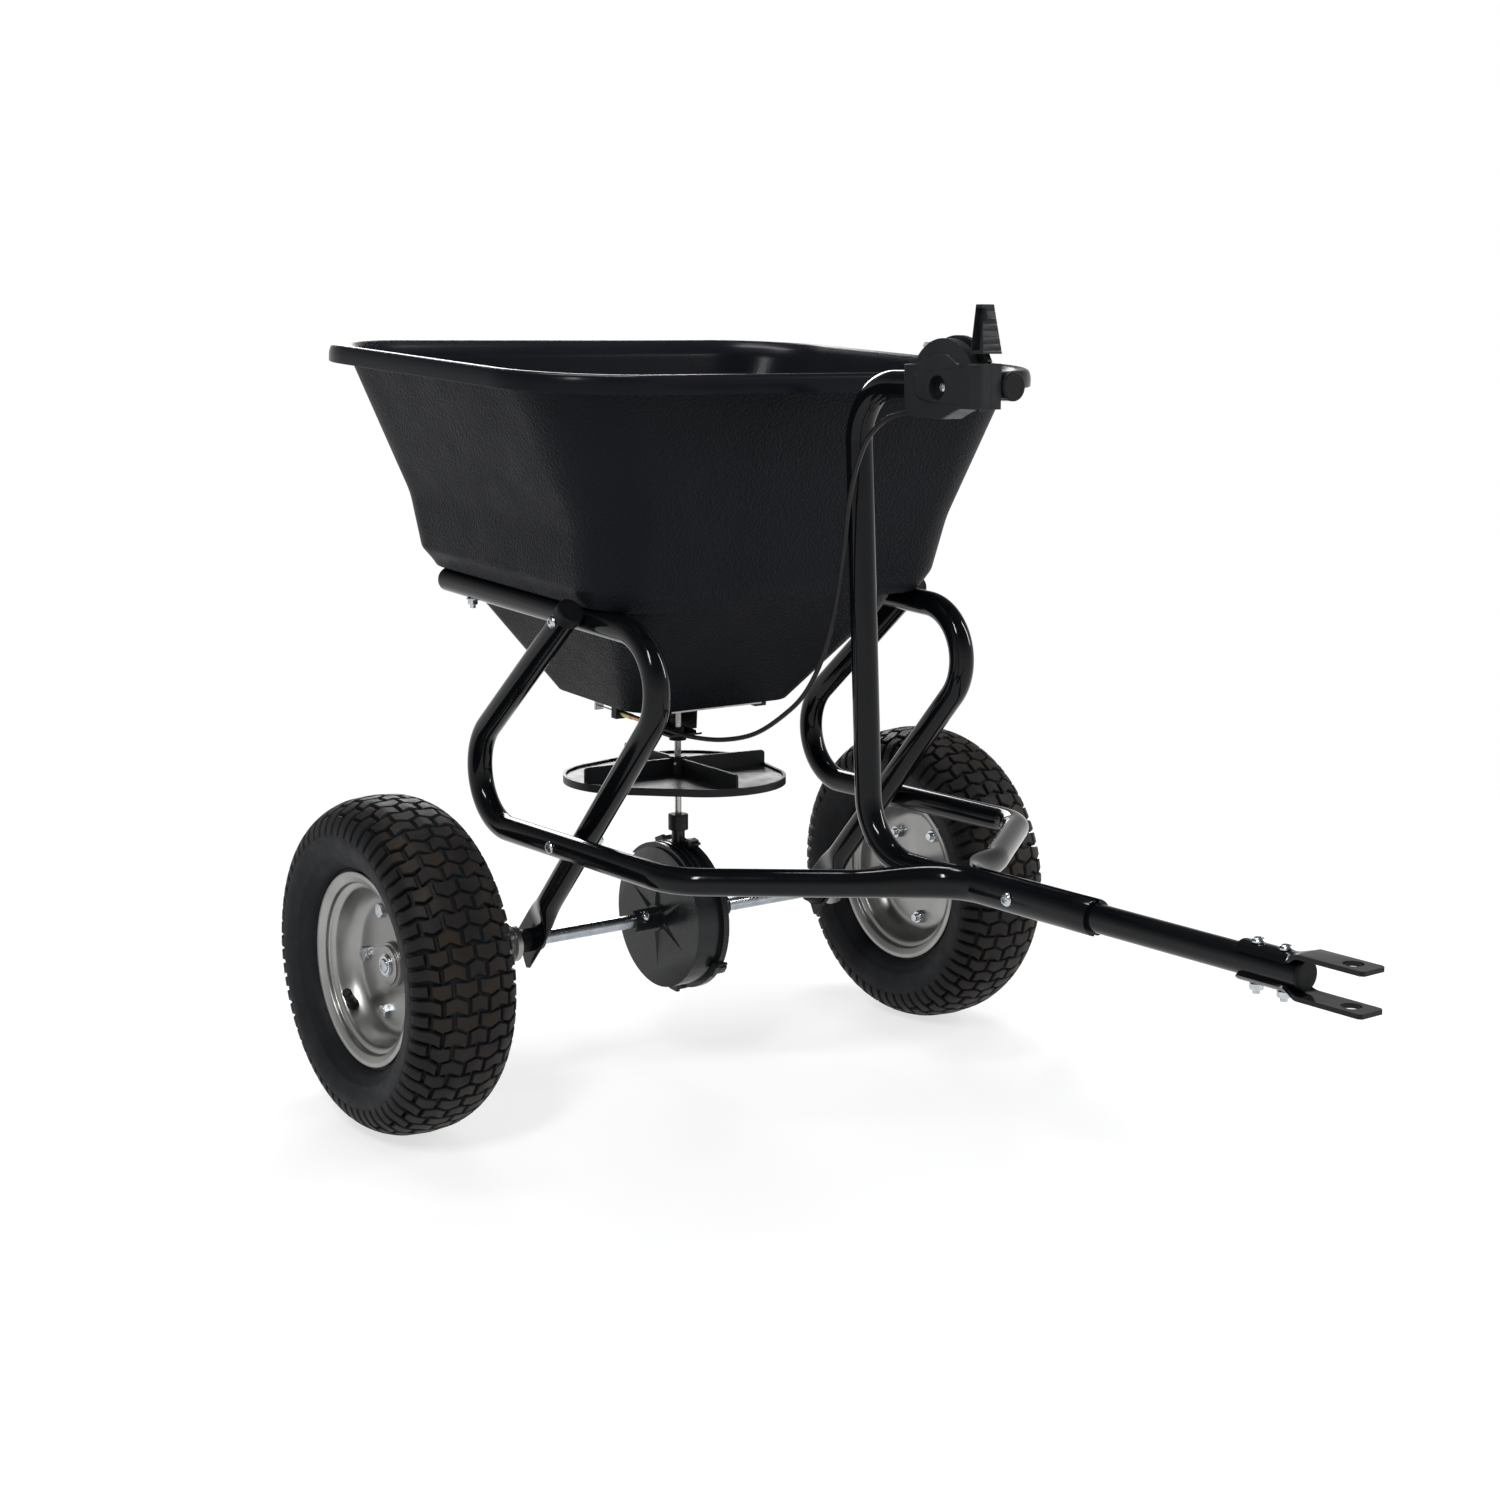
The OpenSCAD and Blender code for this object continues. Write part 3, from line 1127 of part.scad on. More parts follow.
hopper();
hopper_bolts();
leg_left();
leg_right();
frame_left();
frame_right();
tow_tube();
leg_plugs();
frame_caps();
tow_plugs();
frame_bolts();
shell_bolt();
hitch_upper();
hitch_lower();
hitch_bolts();
bushings();
spacers();
axle();
axle_rings();
tyre_left();
tyre_right();
rim_left_outer();
rim_left_inner();
rim_right_outer();
rim_right_inner();
hub_left();
hub_right();
wheel_bolts_left();
wheel_bolts_right();
valve_left();
valve_right();
drive_pin();
gearbox_left();
gearbox_right();
gear_collars();
collar_screws();
crown_gear();
pinion();
shaft_collar();
shaft();
disc();
disc_pin();
agitator();
gate();
gate_rails();
shaft_bracket();
shaft_bushing();
cable_clip();
cable_barrel();
cable_ferrule();
gate_wire();
control_cable();
control_housing();
control_base();
control_clamp();
control_screw();
stop_bolt();
lever();
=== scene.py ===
import json
import math
from contextlib import contextmanager

import bmesh
import bpy
import numpy as np
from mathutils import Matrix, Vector


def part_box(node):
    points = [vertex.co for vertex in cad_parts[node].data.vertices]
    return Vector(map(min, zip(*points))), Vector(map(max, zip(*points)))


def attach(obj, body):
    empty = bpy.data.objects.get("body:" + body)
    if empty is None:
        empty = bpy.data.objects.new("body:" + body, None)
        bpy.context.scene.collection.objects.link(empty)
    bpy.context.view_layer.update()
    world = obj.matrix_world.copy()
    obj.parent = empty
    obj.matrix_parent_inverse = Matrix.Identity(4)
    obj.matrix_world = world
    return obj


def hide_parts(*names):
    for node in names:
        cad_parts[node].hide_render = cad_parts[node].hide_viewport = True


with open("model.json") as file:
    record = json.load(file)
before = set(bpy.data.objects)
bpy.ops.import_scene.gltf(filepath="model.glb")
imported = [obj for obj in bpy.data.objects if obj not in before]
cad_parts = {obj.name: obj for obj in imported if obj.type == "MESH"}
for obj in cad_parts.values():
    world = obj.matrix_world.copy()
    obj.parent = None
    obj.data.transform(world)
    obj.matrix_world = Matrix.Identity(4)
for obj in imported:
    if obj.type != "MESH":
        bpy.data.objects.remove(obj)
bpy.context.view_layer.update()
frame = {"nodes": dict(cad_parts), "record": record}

nodeBody = {n: b for b, members in frame["record"]["behaviour"]["bodies"].items() for n in members}
axleLow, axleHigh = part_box("axle")
axleY = (axleLow.y + axleHigh.y) / 2 * 1000
axleZ = (axleLow.z + axleHigh.z) / 2 * 1000
print("frame loaded, axle at", round(axleY, 2), round(axleZ, 2))


# ---- mesh tools ----

# Quads between neighbouring rows and columns of a point grid, joined up where it closes.
def gridFaces(rows, cols, closeRows=False, closeCols=False):
    r = np.arange(rows if closeRows else rows - 1)[:, None]
    c = np.arange(cols if closeCols else cols - 1)[None, :]
    r2, c2 = (r + 1) % rows, (c + 1) % cols
    return np.stack([r * cols + c, r * cols + c2, r2 * cols + c2, r2 * cols + c], -1).reshape(-1, 4)


# A grid of points (rows, cols, 3) as a part: its points and its faces.
def gridPart(points, closeRows=False, closeCols=False, capEnds=False):
    rows, cols = points.shape[:2]
    faces = gridFaces(rows, cols, closeRows, closeCols).tolist()
    if capEnds:
        faces += [list(range(cols))[::-1], [(rows - 1) * cols + k for k in range(cols)]]
    return points.reshape(-1, 3), faces


def mirrored(part):
    return part[0] * [-1, 1, 1], [f[::-1] for f in part[1]]


# Angles of a full turn in equal steps.
def fullTurn(steps):
    return np.arange(steps) * 2 * np.pi / steps


# A mesh opened for editing, and written back at the end.
@contextmanager
def meshWork(mesh):
    work = bmesh.new()
    work.from_mesh(mesh)
    yield work
    work.to_mesh(mesh)
    work.free()


# Joins parts into one mesh object, merges doubles and makes the normals point outwards.
def makePiece(name, parts, body, material, replaces=(), sharp=40, tint=None):
    points, faces, start = [], [], 0
    for p, f in parts:
        points.append(p)
        faces += [[start + i for i in face] for face in f]
        start += len(p)
    points = (np.concatenate(points) + [0, axleY, 0]) / 1000
    mesh = bpy.data.meshes.new(name)
    mesh.from_pydata(points.tolist(), [], faces)
    if tint is not None:
        layer = mesh.attributes.new("tint", "FLOAT", "POINT")
        layer.data.foreach_set("value", np.concatenate(tint).astype(np.float32))
    with meshWork(mesh) as work:
        bmesh.ops.remove_doubles(work, verts=work.verts, dist=1e-6)
        bmesh.ops.recalc_face_normals(work, faces=work.faces)
    return finishPiece(name, mesh, body, material, replaces, sharp)


def finishPiece(name, mesh, body, material, replaces, sharp):
    mesh.shade_smooth()
    mesh.set_sharp_from_angle(angle=math.radians(sharp))
    mesh.materials.clear()
    mesh.materials.append(material)
    piece = bpy.data.objects.new(name, mesh)
    bpy.context.scene.collection.objects.link(piece)
    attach(piece, body)
    if replaces:
        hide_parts(*replaces)
    return piece


# A welded copy of a CAD node with its edges rounded over.
def refined(name, node, material, edge, sharp=32):
    mesh = frame["nodes"][node].data.copy()
    mesh.name = name
    with meshWork(mesh) as work:
        bmesh.ops.remove_doubles(work, verts=work.verts, dist=2e-6)
        bmesh.ops.dissolve_limit(work, angle_limit=math.radians(0.6), verts=work.verts, edges=work.edges)
    piece = finishPiece(name, mesh, nodeBody[node], material, [node], sharp)
    if edge:
        bevel = piece.modifiers.new("roundOver", "BEVEL")
        bevel.width = edge / 1000
        bevel.segments = 2
        bevel.limit_method = "ANGLE"
        bevel.angle_limit = math.radians(38)
        bevel.harden_normals = True
    return piece


# Corners of a profile (m, k) eased by parabolas that start `reach` before each corner.
def eased(points, reach, steps=5, closed=False):
    p = np.asarray(points, float)
    reach = np.broadcast_to(np.asarray(reach, float), len(p))
    a, b = np.roll(p, 1, 0), np.roll(p, -1, 0)
    la = np.linalg.norm((a - p)[:, :3], axis=1)
    lb = np.linalg.norm((b - p)[:, :3], axis=1)
    ca = np.minimum(reach, 0.46 * la) / np.maximum(la, 1e-9)
    cb = np.minimum(reach, 0.46 * lb) / np.maximum(lb, 1e-9)
    t = np.linspace(0, 1, steps + 1)[None, :, None]
    start, stop = p + (a - p) * ca[:, None], p + (b - p) * cb[:, None]
    out = (1 - t) ** 2 * start[:, None] + 2 * t * (1 - t) * p[:, None] + t ** 2 * stop[:, None]
    if closed:
        return out.reshape(-1, p.shape[1])
    return np.concatenate([p[:1], out[1:-1].reshape(-1, p.shape[1]), p[-1:]])


# Profile (station along X, radius) turned about the axle's line: radius times cosine and sine.
def lathe(profile, x=0, outward=1, steps=96, closed=True):
    t = fullTurn(steps)
    s, r = np.asarray(profile, float).T
    points = np.stack([np.broadcast_to(x + outward * s[:, None], (len(s), steps)),
                       r[:, None] * np.cos(t), axleZ + r[:, None] * np.sin(t)], -1)
    return gridPart(points, closeRows=closed, closeCols=True)


# Turns a part about the axle's line by an angle in degrees.
def turned(part, angle):
    a = math.radians(angle)
    p = part[0] - [0, 0, axleZ]
    y, z = p[:, 1] * math.cos(a) - p[:, 2] * math.sin(a), p[:, 1] * math.sin(a) + p[:, 2] * math.cos(a)
    return np.stack([p[:, 0], y, z + axleZ], -1), part[1]


# Polyline with its corners turned into arcs of the given radii, a point every few degrees.
def bentPath(corners, radii, step=4):
    c = [np.asarray(p, float) for p in corners]
    out = [c[0][None]]
    for i in range(1, len(c) - 1):
        u, v = c[i] - c[i - 1], c[i + 1] - c[i]
        u, v = u / np.linalg.norm(u), v / np.linalg.norm(v)
        angle = math.acos(u @ v)
        middle = c[i] + (v - u) / np.linalg.norm(v - u) * radii[i] / math.cos(angle / 2)
        start = c[i] - u * radii[i] * math.tan(angle / 2) - middle
        t = np.linspace(0, angle, max(3, int(math.degrees(angle) / step)))[:, None]
        out.append(middle + np.cos(t) * start + np.sin(t) * u * radii[i])
    out.append(c[-1][None])
    path = np.concatenate(out)
    # Long straights get points near their ends too, which keeps the shading even.
    full = [path[:1]]
    for a, b in zip(path[:-1], path[1:]):
        if np.linalg.norm(b - a) > 12:
            f = np.array([0.04, 0.5, 0.96])[:, None]
            full.append(a + (b - a) * f)
        full.append(b[None])
    return np.concatenate(full)


# Frames along a path: side and up vectors carried along with no twist, first side given.
def carriedFrames(path, side):
    t = np.gradient(path, axis=0)
    t /= np.linalg.norm(t, axis=1)[:, None]
    sides = [np.asarray(side, float)]
    for b in t[1:]:
        s = sides[-1] - b * (sides[-1] @ b)
        sides.append(s / np.linalg.norm(s))
    sides = np.array(sides)
    return sides, np.cross(t, sides)


# Rings of a round tube: centre plus radius times (side cosine + up sine) at the given angles.
def tubeRings(path, side, radius, angles):
    e, f = carriedFrames(path, side)
    radius = np.broadcast_to(np.asarray(radius, float), (len(path), len(angles)))[..., None]
    c, s = np.cos(angles)[None, :, None], np.sin(angles)[None, :, None]
    return path[:, None] + radius * (e[:, None] * c + f[:, None] * s)


def ease(t):
    t = np.clip(t, 0, 1)
    return t * t * (3 - 2 * t)


def power(c, p):
    return np.sign(c) * np.abs(c) ** p


# ---- finishes ----

# New shader nodes, named by the words after "ShaderNode".
def newNodes(nodes, *kinds):
    return [nodes.new("ShaderNode" + kind) for kind in kinds]


# A group node with its named inputs set.
def groupNode(nodes, group, **values):
    node = nodes.new("ShaderNodeGroup")
    node.node_tree = group
    for socket, value in values.items():
        node.inputs[socket].default_value = value
    return node


# A colour mix node, its second colour set.
def colourMix(nodes, second):
    node = nodes.new("ShaderNodeMix")
    node.data_type = "RGBA"
    node.inputs["B"].default_value = (*second, 1)
    return node


# Slow change between two values over the surface.
def mottleGroup():
    group = bpy.data.node_groups.new("slowMottle", "ShaderNodeTree")
    face = group.interface
    for name, value in (("Scale", 30.0), ("Low", 0.0), ("High", 1.0)):
        face.new_socket(name=name, in_out="INPUT", socket_type="NodeSocketFloat").default_value = value
    face.new_socket(name="Value", in_out="OUTPUT", socket_type="NodeSocketFloat")
    n, link = group.nodes, group.links.new
    source, sink = n.new("NodeGroupInput"), n.new("NodeGroupOutput")
    place, noise, spread = newNodes(n, "TexCoord", "TexNoise", "MapRange")
    noise.inputs["Detail"].default_value = 4
    spread.inputs["From Min"].default_value = 0.32
    spread.inputs["From Max"].default_value = 0.68
    link(place.outputs["Object"], noise.inputs["Vector"])
    link(source.outputs["Scale"], noise.inputs["Scale"])
    link(noise.outputs["Fac"], spread.inputs["Value"])
    link(source.outputs["Low"], spread.inputs["To Min"])
    link(source.outputs["High"], spread.inputs["To Max"])
    link(spread.outputs["Result"], sink.inputs["Value"])
    return group


# Pebbled moulding grain: rounded cells with finer noise on top.
def pebbleGroup():
    group = bpy.data.node_groups.new("pebbleGrain", "ShaderNodeTree")
    face = group.interface
    for name, value in (("Scale", 600.0), ("Fine", 0.3)):
        face.new_socket(name=name, in_out="INPUT", socket_type="NodeSocketFloat").default_value = value
    face.new_socket(name="Height", in_out="OUTPUT", socket_type="NodeSocketFloat")
    n, link = group.nodes, group.links.new
    source, sink = n.new("NodeGroupInput"), n.new("NodeGroupOutput")
    place, cells, noise, blend = newNodes(n, "TexCoord", "TexVoronoi", "TexNoise", "Mix")
    cells.feature = "SMOOTH_F1"
    cells.inputs["Smoothness"].default_value = 0.6
    noise.inputs["Detail"].default_value = 3
    link(place.outputs["Object"], cells.inputs["Vector"])
    link(place.outputs["Object"], noise.inputs["Vector"])
    link(source.outputs["Scale"], cells.inputs["Scale"])
    link(source.outputs["Scale"], noise.inputs["Scale"])
    link(source.outputs["Fine"], blend.inputs["Factor"])
    link(cells.outputs["Distance"], blend.inputs["A"])
    link(noise.outputs["Fac"], blend.inputs["B"])
    link(blend.outputs["Result"], sink.inputs["Height"])
    return group


mottle, pebble = mottleGroup(), pebbleGroup()


# A finish: two colours and two roughnesses drifting into each other over a grain.
def finish(name, low, high, rough, metal=0.0, specular=0.5, drift=25.0, grain=600.0, fine=0.4, depth=0.0,
           strength=0.3):
    material = bpy.data.materials.new(name)
    material.use_nodes = True
    n, link = material.node_tree.nodes, material.node_tree.links.new
    shader = n["Principled BSDF"]
    shader.inputs["Metallic"].default_value = metal
    shader.inputs["Specular IOR Level"].default_value = specular
    shade = groupNode(n, mottle, Scale=drift)
    colour = colourMix(n, high)
    colour.inputs["A"].default_value = (*low, 1)
    link(shade.outputs["Value"], colour.inputs["Factor"])
    link(colour.outputs["Result"], shader.inputs["Base Color"])
    gloss = groupNode(n, mottle, Scale=drift * 2.7, Low=rough[0], High=rough[1])
    link(gloss.outputs["Value"], shader.inputs["Roughness"])
    bump = n.new("ShaderNodeBump")
    bump.inputs["Strength"].default_value = strength
    bump.inputs["Distance"].default_value = depth
    relief = groupNode(n, pebble, Scale=grain, Fine=fine)
    link(relief.outputs["Height"], bump.inputs["Height"])
    link(bump.outputs["Normal"], shader.inputs["Normal"])
    return material


blackPaint = finish("glossBlackPaint", (0.0022, 0.0026, 0.0034), (0.0032, 0.0036, 0.0046), (0.08, 0.13),
                    specular=0.2, drift=14, grain=90, fine=1.0, depth=0.0004, strength=0.12)
blackPlastic = finish("blackMouldedPlastic", (0.0065, 0.0072, 0.0082), (0.0095, 0.0104, 0.0117), (0.34, 0.46),
                      specular=0.2, drift=30, grain=1500, fine=0.5, depth=0.00005, strength=0.25)
glossPlastic = finish("glossMouldedPlastic", (0.006, 0.0066, 0.0076), (0.009, 0.0098, 0.011), (0.2, 0.3),
                      specular=0.26, drift=30, grain=1300, fine=0.6, depth=0.00003, strength=0.1)
zincPlate = finish("brightZincPlate", (0.42, 0.45, 0.47), (0.56, 0.59, 0.61), (0.18, 0.3), metal=1.0,
                   drift=160, grain=1400, fine=0.8, depth=0.00002, strength=0.2)
barSteel = finish("drawnSteelBar", (0.34, 0.335, 0.32), (0.46, 0.45, 0.43), (0.22, 0.34), metal=1.0, drift=70,
                  grain=900, fine=1.0, depth=0.00002, strength=0.2)
galvanised = finish("galvanisedAxle", (0.3, 0.33, 0.36), (0.42, 0.45, 0.48), (0.18, 0.3), metal=1.0, drift=90,
                    grain=800, fine=0.9, depth=0.00002, strength=0.2)
rimSilver = finish("silverRimSheet", (0.27, 0.268, 0.26), (0.33, 0.328, 0.32), (0.31, 0.38), metal=0.95,
                   drift=20, grain=1200, fine=1.0, depth=0.00003, strength=0.06)
softRubber = finish("mouldedRubber", (0.004, 0.0043, 0.005), (0.0065, 0.007, 0.008), (0.4, 0.55),
                    specular=0.12, drift=60, grain=1500, fine=0.6, depth=0.00005, strength=0.25)
cableSkin = finish("blackCableSheath", (0.006, 0.006, 0.0065), (0.009, 0.009, 0.0097), (0.3, 0.42),
                   specular=0.25, drift=50, grain=900, fine=0.8, depth=0.00002, strength=0.2)
yellowBrass = finish("yellowPassivatedBarrel", (0.42, 0.35, 0.12), (0.55, 0.46, 0.19), (0.25, 0.38),
                     metal=1.0, drift=200, grain=900, fine=0.9, depth=0.00002, strength=0.2)
copperCrimp = finish("copperFerrule", (0.45, 0.24, 0.13), (0.58, 0.33, 0.2), (0.25, 0.4), metal=1.0,
                     drift=200, grain=900, fine=0.9, depth=0.00002, strength=0.2)


# Hopper: a pebbled outside, and a smooth skin where the tint is high (rolled rim and inside).
def hopperFinish():
    material = finish("pebbledHopperPlastic", (0.0042, 0.0048, 0.0068), (0.0058, 0.0066, 0.009), (0.44, 0.52),
                      specular=0.07, drift=9, grain=420, fine=0.3, depth=0.0016, strength=0.75)
    n, link = material.node_tree.nodes, material.node_tree.links.new
    shader = n["Principled BSDF"]
    tint = n.new("ShaderNodeAttribute")
    tint.attribute_name = "tint"
    rough = shader.inputs["Roughness"].links[0].from_socket
    blend = n.new("ShaderNodeMix")
    blend.inputs["B"].default_value = 0.24
    link(tint.outputs["Fac"], blend.inputs["Factor"])
    link(rough, blend.inputs["A"])
    link(blend.outputs["Result"], shader.inputs["Roughness"])
    height = next(x for x in n if x.type == "BUMP")
    relief = height.inputs["Height"].links[0].from_socket
    flatten = n.new("ShaderNodeMix")
    flatten.inputs["B"].default_value = 0.35
    link(tint.outputs["Fac"], flatten.inputs["Factor"])
    link(relief, flatten.inputs["A"])
    link(flatten.outputs["Result"], height.inputs["Height"])
    return material


# Tyre: blue-black rubber, browner and duller on the tread tops where the tint is high.
def tyreFinish():
    material = finish("turfTyreRubber", (0.0065, 0.0071, 0.0084), (0.0105, 0.0113, 0.013), (0.5, 0.62),
                      specular=0.12, drift=35, grain=1100, fine=0.6, depth=0.0004, strength=0.35)
    n, link = material.node_tree.nodes, material.node_tree.links.new
    shader = n["Principled BSDF"]
    tint = n.new("ShaderNodeAttribute")
    tint.attribute_name = "tint"
    patch = groupNode(n, mottle, Scale=26, Low=0, High=0.85)
    mask = n.new("ShaderNodeMath")
    mask.operation = "MULTIPLY"
    link(tint.outputs["Fac"], mask.inputs[0])
    link(patch.outputs["Value"], mask.inputs[1])
    rubber = shader.inputs["Base Color"].links[0].from_socket
    colour = colourMix(n, (0.024, 0.0165, 0.0105))
    link(mask.outputs["Value"], colour.inputs["Factor"])
    link(rubber, colour.inputs["A"])
    link(colour.outputs["Result"], shader.inputs["Base Color"])
    return material


hopperPlastic, tyreRubber = hopperFinish(), tyreFinish()
print("finishes ready")


# ---- hopper ----

hopper = {"lean": 3.6, "middle": 26, "halfWidth": 305.5, "halfDepth": 250, "corner": 105, "top": 744.6,
          "wall": 3.5, "floorZ": 399.5, "floorWidth": 100.6, "floorDepth": 86, "creaseZ": 528,
          "creaseWidth": 199, "creaseDepth": 189, "kinkZ": 595, "kinkWidth": 221, "kinkDepth": 199,
          "saddleWidth": 161.7, "shelfZ": 520.4, "shelfWidth": 195, "wallZ": 727, "wallWidth": 284.5,
          "wallDepth": 225, "shaftHole": 10, "portX": 35, "portWidth": 40, "portDepth": 20, "portY": -15}


# Leans points about the axle, front down, as the hopper stands.
def leaned(p):
    a = math.radians(hopper["lean"])
    y, z = p[..., 1], p[..., 2] - axleZ
    c, s = math.cos(a), math.sin(a)
    return np.stack([p[..., 0], y * c - z * s, axleZ + y * s + z * c], -1)


# Stations up the outside, over the rolled rim and down the inside:
# height, half width, half depth, corner, middle, easing reach, how smooth the skin is there.
def hopperStations(h):
    w, hw, hd, c, top = h["wall"], h["halfWidth"], h["halfDepth"], h["corner"], h["top"]
    m, sz, wz = h["middle"], h["shelfZ"], h["wallZ"]

    # Half depth of the sloping front and back at a height.
    def funnel(z):
        share = (z - h["floorZ"]) / (h["creaseZ"] - h["floorZ"])
        return h["floorDepth"] + (h["creaseDepth"] - h["floorDepth"]) * share

    outside = [
        (h["floorZ"], h["floorWidth"], h["floorDepth"], 34, 24, 3, 0),
        (497, h["saddleWidth"], funnel(497), 45, m, 6, 0),
        (sz - 0.3, h["saddleWidth"], funnel(sz), 47, m, 1.2, 0),
        (sz, h["shelfWidth"], funnel(sz) + 1, 49, m, 2.5, 0),
        (h["creaseZ"], h["creaseWidth"], h["creaseDepth"], 50, m, 4, 0),
        (h["creaseZ"] + 12, h["creaseWidth"] + 12, h["creaseDepth"], 51, m, 4, 0),
        (h["kinkZ"], h["kinkWidth"], h["kinkDepth"], 55, m, 9, 0),
        (wz, h["wallWidth"], h["wallDepth"], c - 21, m, 3, 0)]
    rolled = [
        (wz + 9.4, hw - 18, hd - 22, c - 18, m, 2.5, 0.6),
        (wz + 10.5, hw - 8, hd - 8, c - 8, m, 2, 1),
        (wz + 6, hw - 4, hd - 4, c - 4, m, 1.5, 1),
        (wz, hw - 3, hd - 3, c - 3, m, 0.8, 1),
        (wz, hw, hd, c, m, 0.8, 1),
        (top - 8.6, hw, hd, c, m, 3.6, 1),
        (top - 2.4, hw - 2, hd - 2, c - 2, m, 2.8, 1),
        (top, hw - 6.6, hd - 6.6, c - 6.6, m, 2.6, 1),
        (top - 1.6, hw - 12, hd - 12, c - 12, m, 3, 1),
        (top - 6.6, h["wallWidth"] + 1.5, h["wallDepth"] + 5, c - 20, m, 4, 1)]
    inside = [
        (top - 15, h["wallWidth"] - w, h["wallDepth"] - w, c - 21 - w, m, 5, 0.9),
        (h["kinkZ"] + 1, h["kinkWidth"] - w, h["kinkDepth"] - w, 55 - w, m, 9, 0.75),
        (h["creaseZ"] + 13, h["creaseWidth"] + 12 - w, h["creaseDepth"] - w, 51 - w, m, 4, 0.75),
        (h["creaseZ"] + 2.5, h["creaseWidth"] - 1.4, h["creaseDepth"] - 3.9, 50 - w, m, 4, 0.75),
        (sz + w, h["shelfWidth"] - 1.4, funnel(sz) - 3.2, 49 - w, m, 2, 0.75),
        (sz + w - 0.3, h["saddleWidth"] - w, funnel(sz) - 4.2, 47 - w, m, 2, 0.75),
        (496, h["saddleWidth"] - w, funnel(497) - 5.2, 45 - w, m, 6, 0.75),
        (h["floorZ"] + w, h["floorWidth"] - 2, funnel(h["floorZ"] + w) - 4.6, 34 - w, 24, 3, 0.75)]
    return np.array(outside + rolled + inside, float)


# Rounded rectangles at the eased stations: corner arcs joined by straight runs.
def hopperSkin(h):
    table = hopperStations(h)
    z, a, b, r, mid, tint = eased(np.delete(table, 5, 1), table[:, 5], steps=4).T
    run = np.array([0.03, 0.2, 0.5, 0.8, 0.97])
    corners = []
    for q, (sx, sy) in enumerate(((1, 1), (-1, 1), (-1, -1), (1, -1))):
        t = np.linspace(0, np.pi / 2, 15) + q * np.pi / 2
        corners.append(np.stack([sx * (a - r)[:, None] + r[:, None] * np.cos(t),
                                 sy * (b - r)[:, None] + r[:, None] * np.sin(t)], -1))
    ring = []
    for here, after in zip(corners, corners[1:] + corners[:1]):
        ring += [here, here[:, -1:] + (after[:, :1] - here[:, -1:]) * run[None, :, None]]
    xy = np.concatenate(ring, 1)
    points = np.concatenate([xy, np.broadcast_to(z[:, None, None], (*xy.shape[:2], 1))], -1)
    points[..., 1] += mid[:, None]
    return points, np.broadcast_to(tint[:, None], points.shape[:2])


# Cuts holes through a piece with exact booleans and takes the cutters away again.
def cutHoles(piece, cutters):
    for points, faces in cutters:
        mesh = bpy.data.meshes.new("cutter")
        mesh.from_pydata(((points + [0, axleY, 0]) / 1000).tolist(), [], faces)
        with meshWork(mesh) as work:
            bmesh.ops.recalc_face_normals(work, faces=work.faces)
        cutter = bpy.data.objects.new("cutter", mesh)
        bpy.context.scene.collection.objects.link(cutter)
        cut = piece.modifiers.new("hole", "BOOLEAN")
        cut.operation, cut.solver, cut.object = "DIFFERENCE", "EXACT", cutter
        bpy.context.view_layer.objects.active = piece
        bpy.ops.object.modifier_apply(modifier="hole")
        bpy.data.objects.remove(cutter)


# An outline of (x, y) points pushed up through the hopper's floor.
def floorCutter(outline, h):
    o = np.asarray(outline, float)
    rings = np.stack([np.column_stack([o, np.full(len(o), h["floorZ"] + z)]) for z in (-6, 10)])
    points, faces = gridPart(rings, closeCols=True, capEnds=True)
    return leaned(points), faces


def floorHoles(h):
    t = fullTurn(24)
    shaftY = (h["floorZ"] - axleZ) * math.tan(math.radians(h["lean"]))
    r, px, py = h["shaftHole"] / 2, h["portWidth"] / 2, h["portDepth"] / 2
    holes = [floorCutter(np.column_stack([r * np.cos(t), shaftY + r * np.sin(t)]), h)]
    for x in (-h["portX"], h["portX"]):
        holes.append(floorCutter([(x - px, h["portY"] - py), (x + px, h["portY"] - py),
                                  (x + px, h["portY"] + py), (x - px, h["portY"] + py)], h))
    return holes


skin, skinTint = hopperSkin(hopper)
hopperShell = makePiece("hopperShell", [gridPart(leaned(skin), closeCols=True, capEnds=True)], "frame",
                        hopperPlastic, ["hopper"], 48, [skinTint.ravel()])
cutHoles(hopperShell, floorHoles(hopper))
print("hopper ready")


# ---- carriage tubes ----

tube = {"radius": 12.5, "legX": 184.5, "frameX": 210.7, "barZ": 284.4, "legBend": 54, "frameBend": 56,
        "railBack": 146, "railZ": 507.7, "kneeY": -293.8, "footY": 7.8, "footDrop": 6.8,
        "cap": (-129.6, 511.4), "kneeBack": 142.8, "bendOut": -292.6, "inward": 51, "shellEnd": -611,
        "mast": 721, "mastReach": 495.7, "barReach": 831, "ripple": 0.35, "flatWidth": 20, "flatHalf": 1.5,
        "flatFrom": 78, "flatTo": 34, "sheet": 3.4, "turnRadius": 40, "pressedFrom": 96, "legColumns": 32,
        "towColumns": 40, "mastKnee": 290.6, "barKnee": 313.9, "mastBend": 52, "barBend": 62}
around = np.radians(np.concatenate([-88 + 176 * np.arange(20) / 19, 92 + 176 * np.arange(20) / 19]))


def railAt(y):
    a = math.radians(hopper["lean"])
    return axleZ + (tube["railZ"] - axleZ) / math.cos(a) + y * math.tan(a)


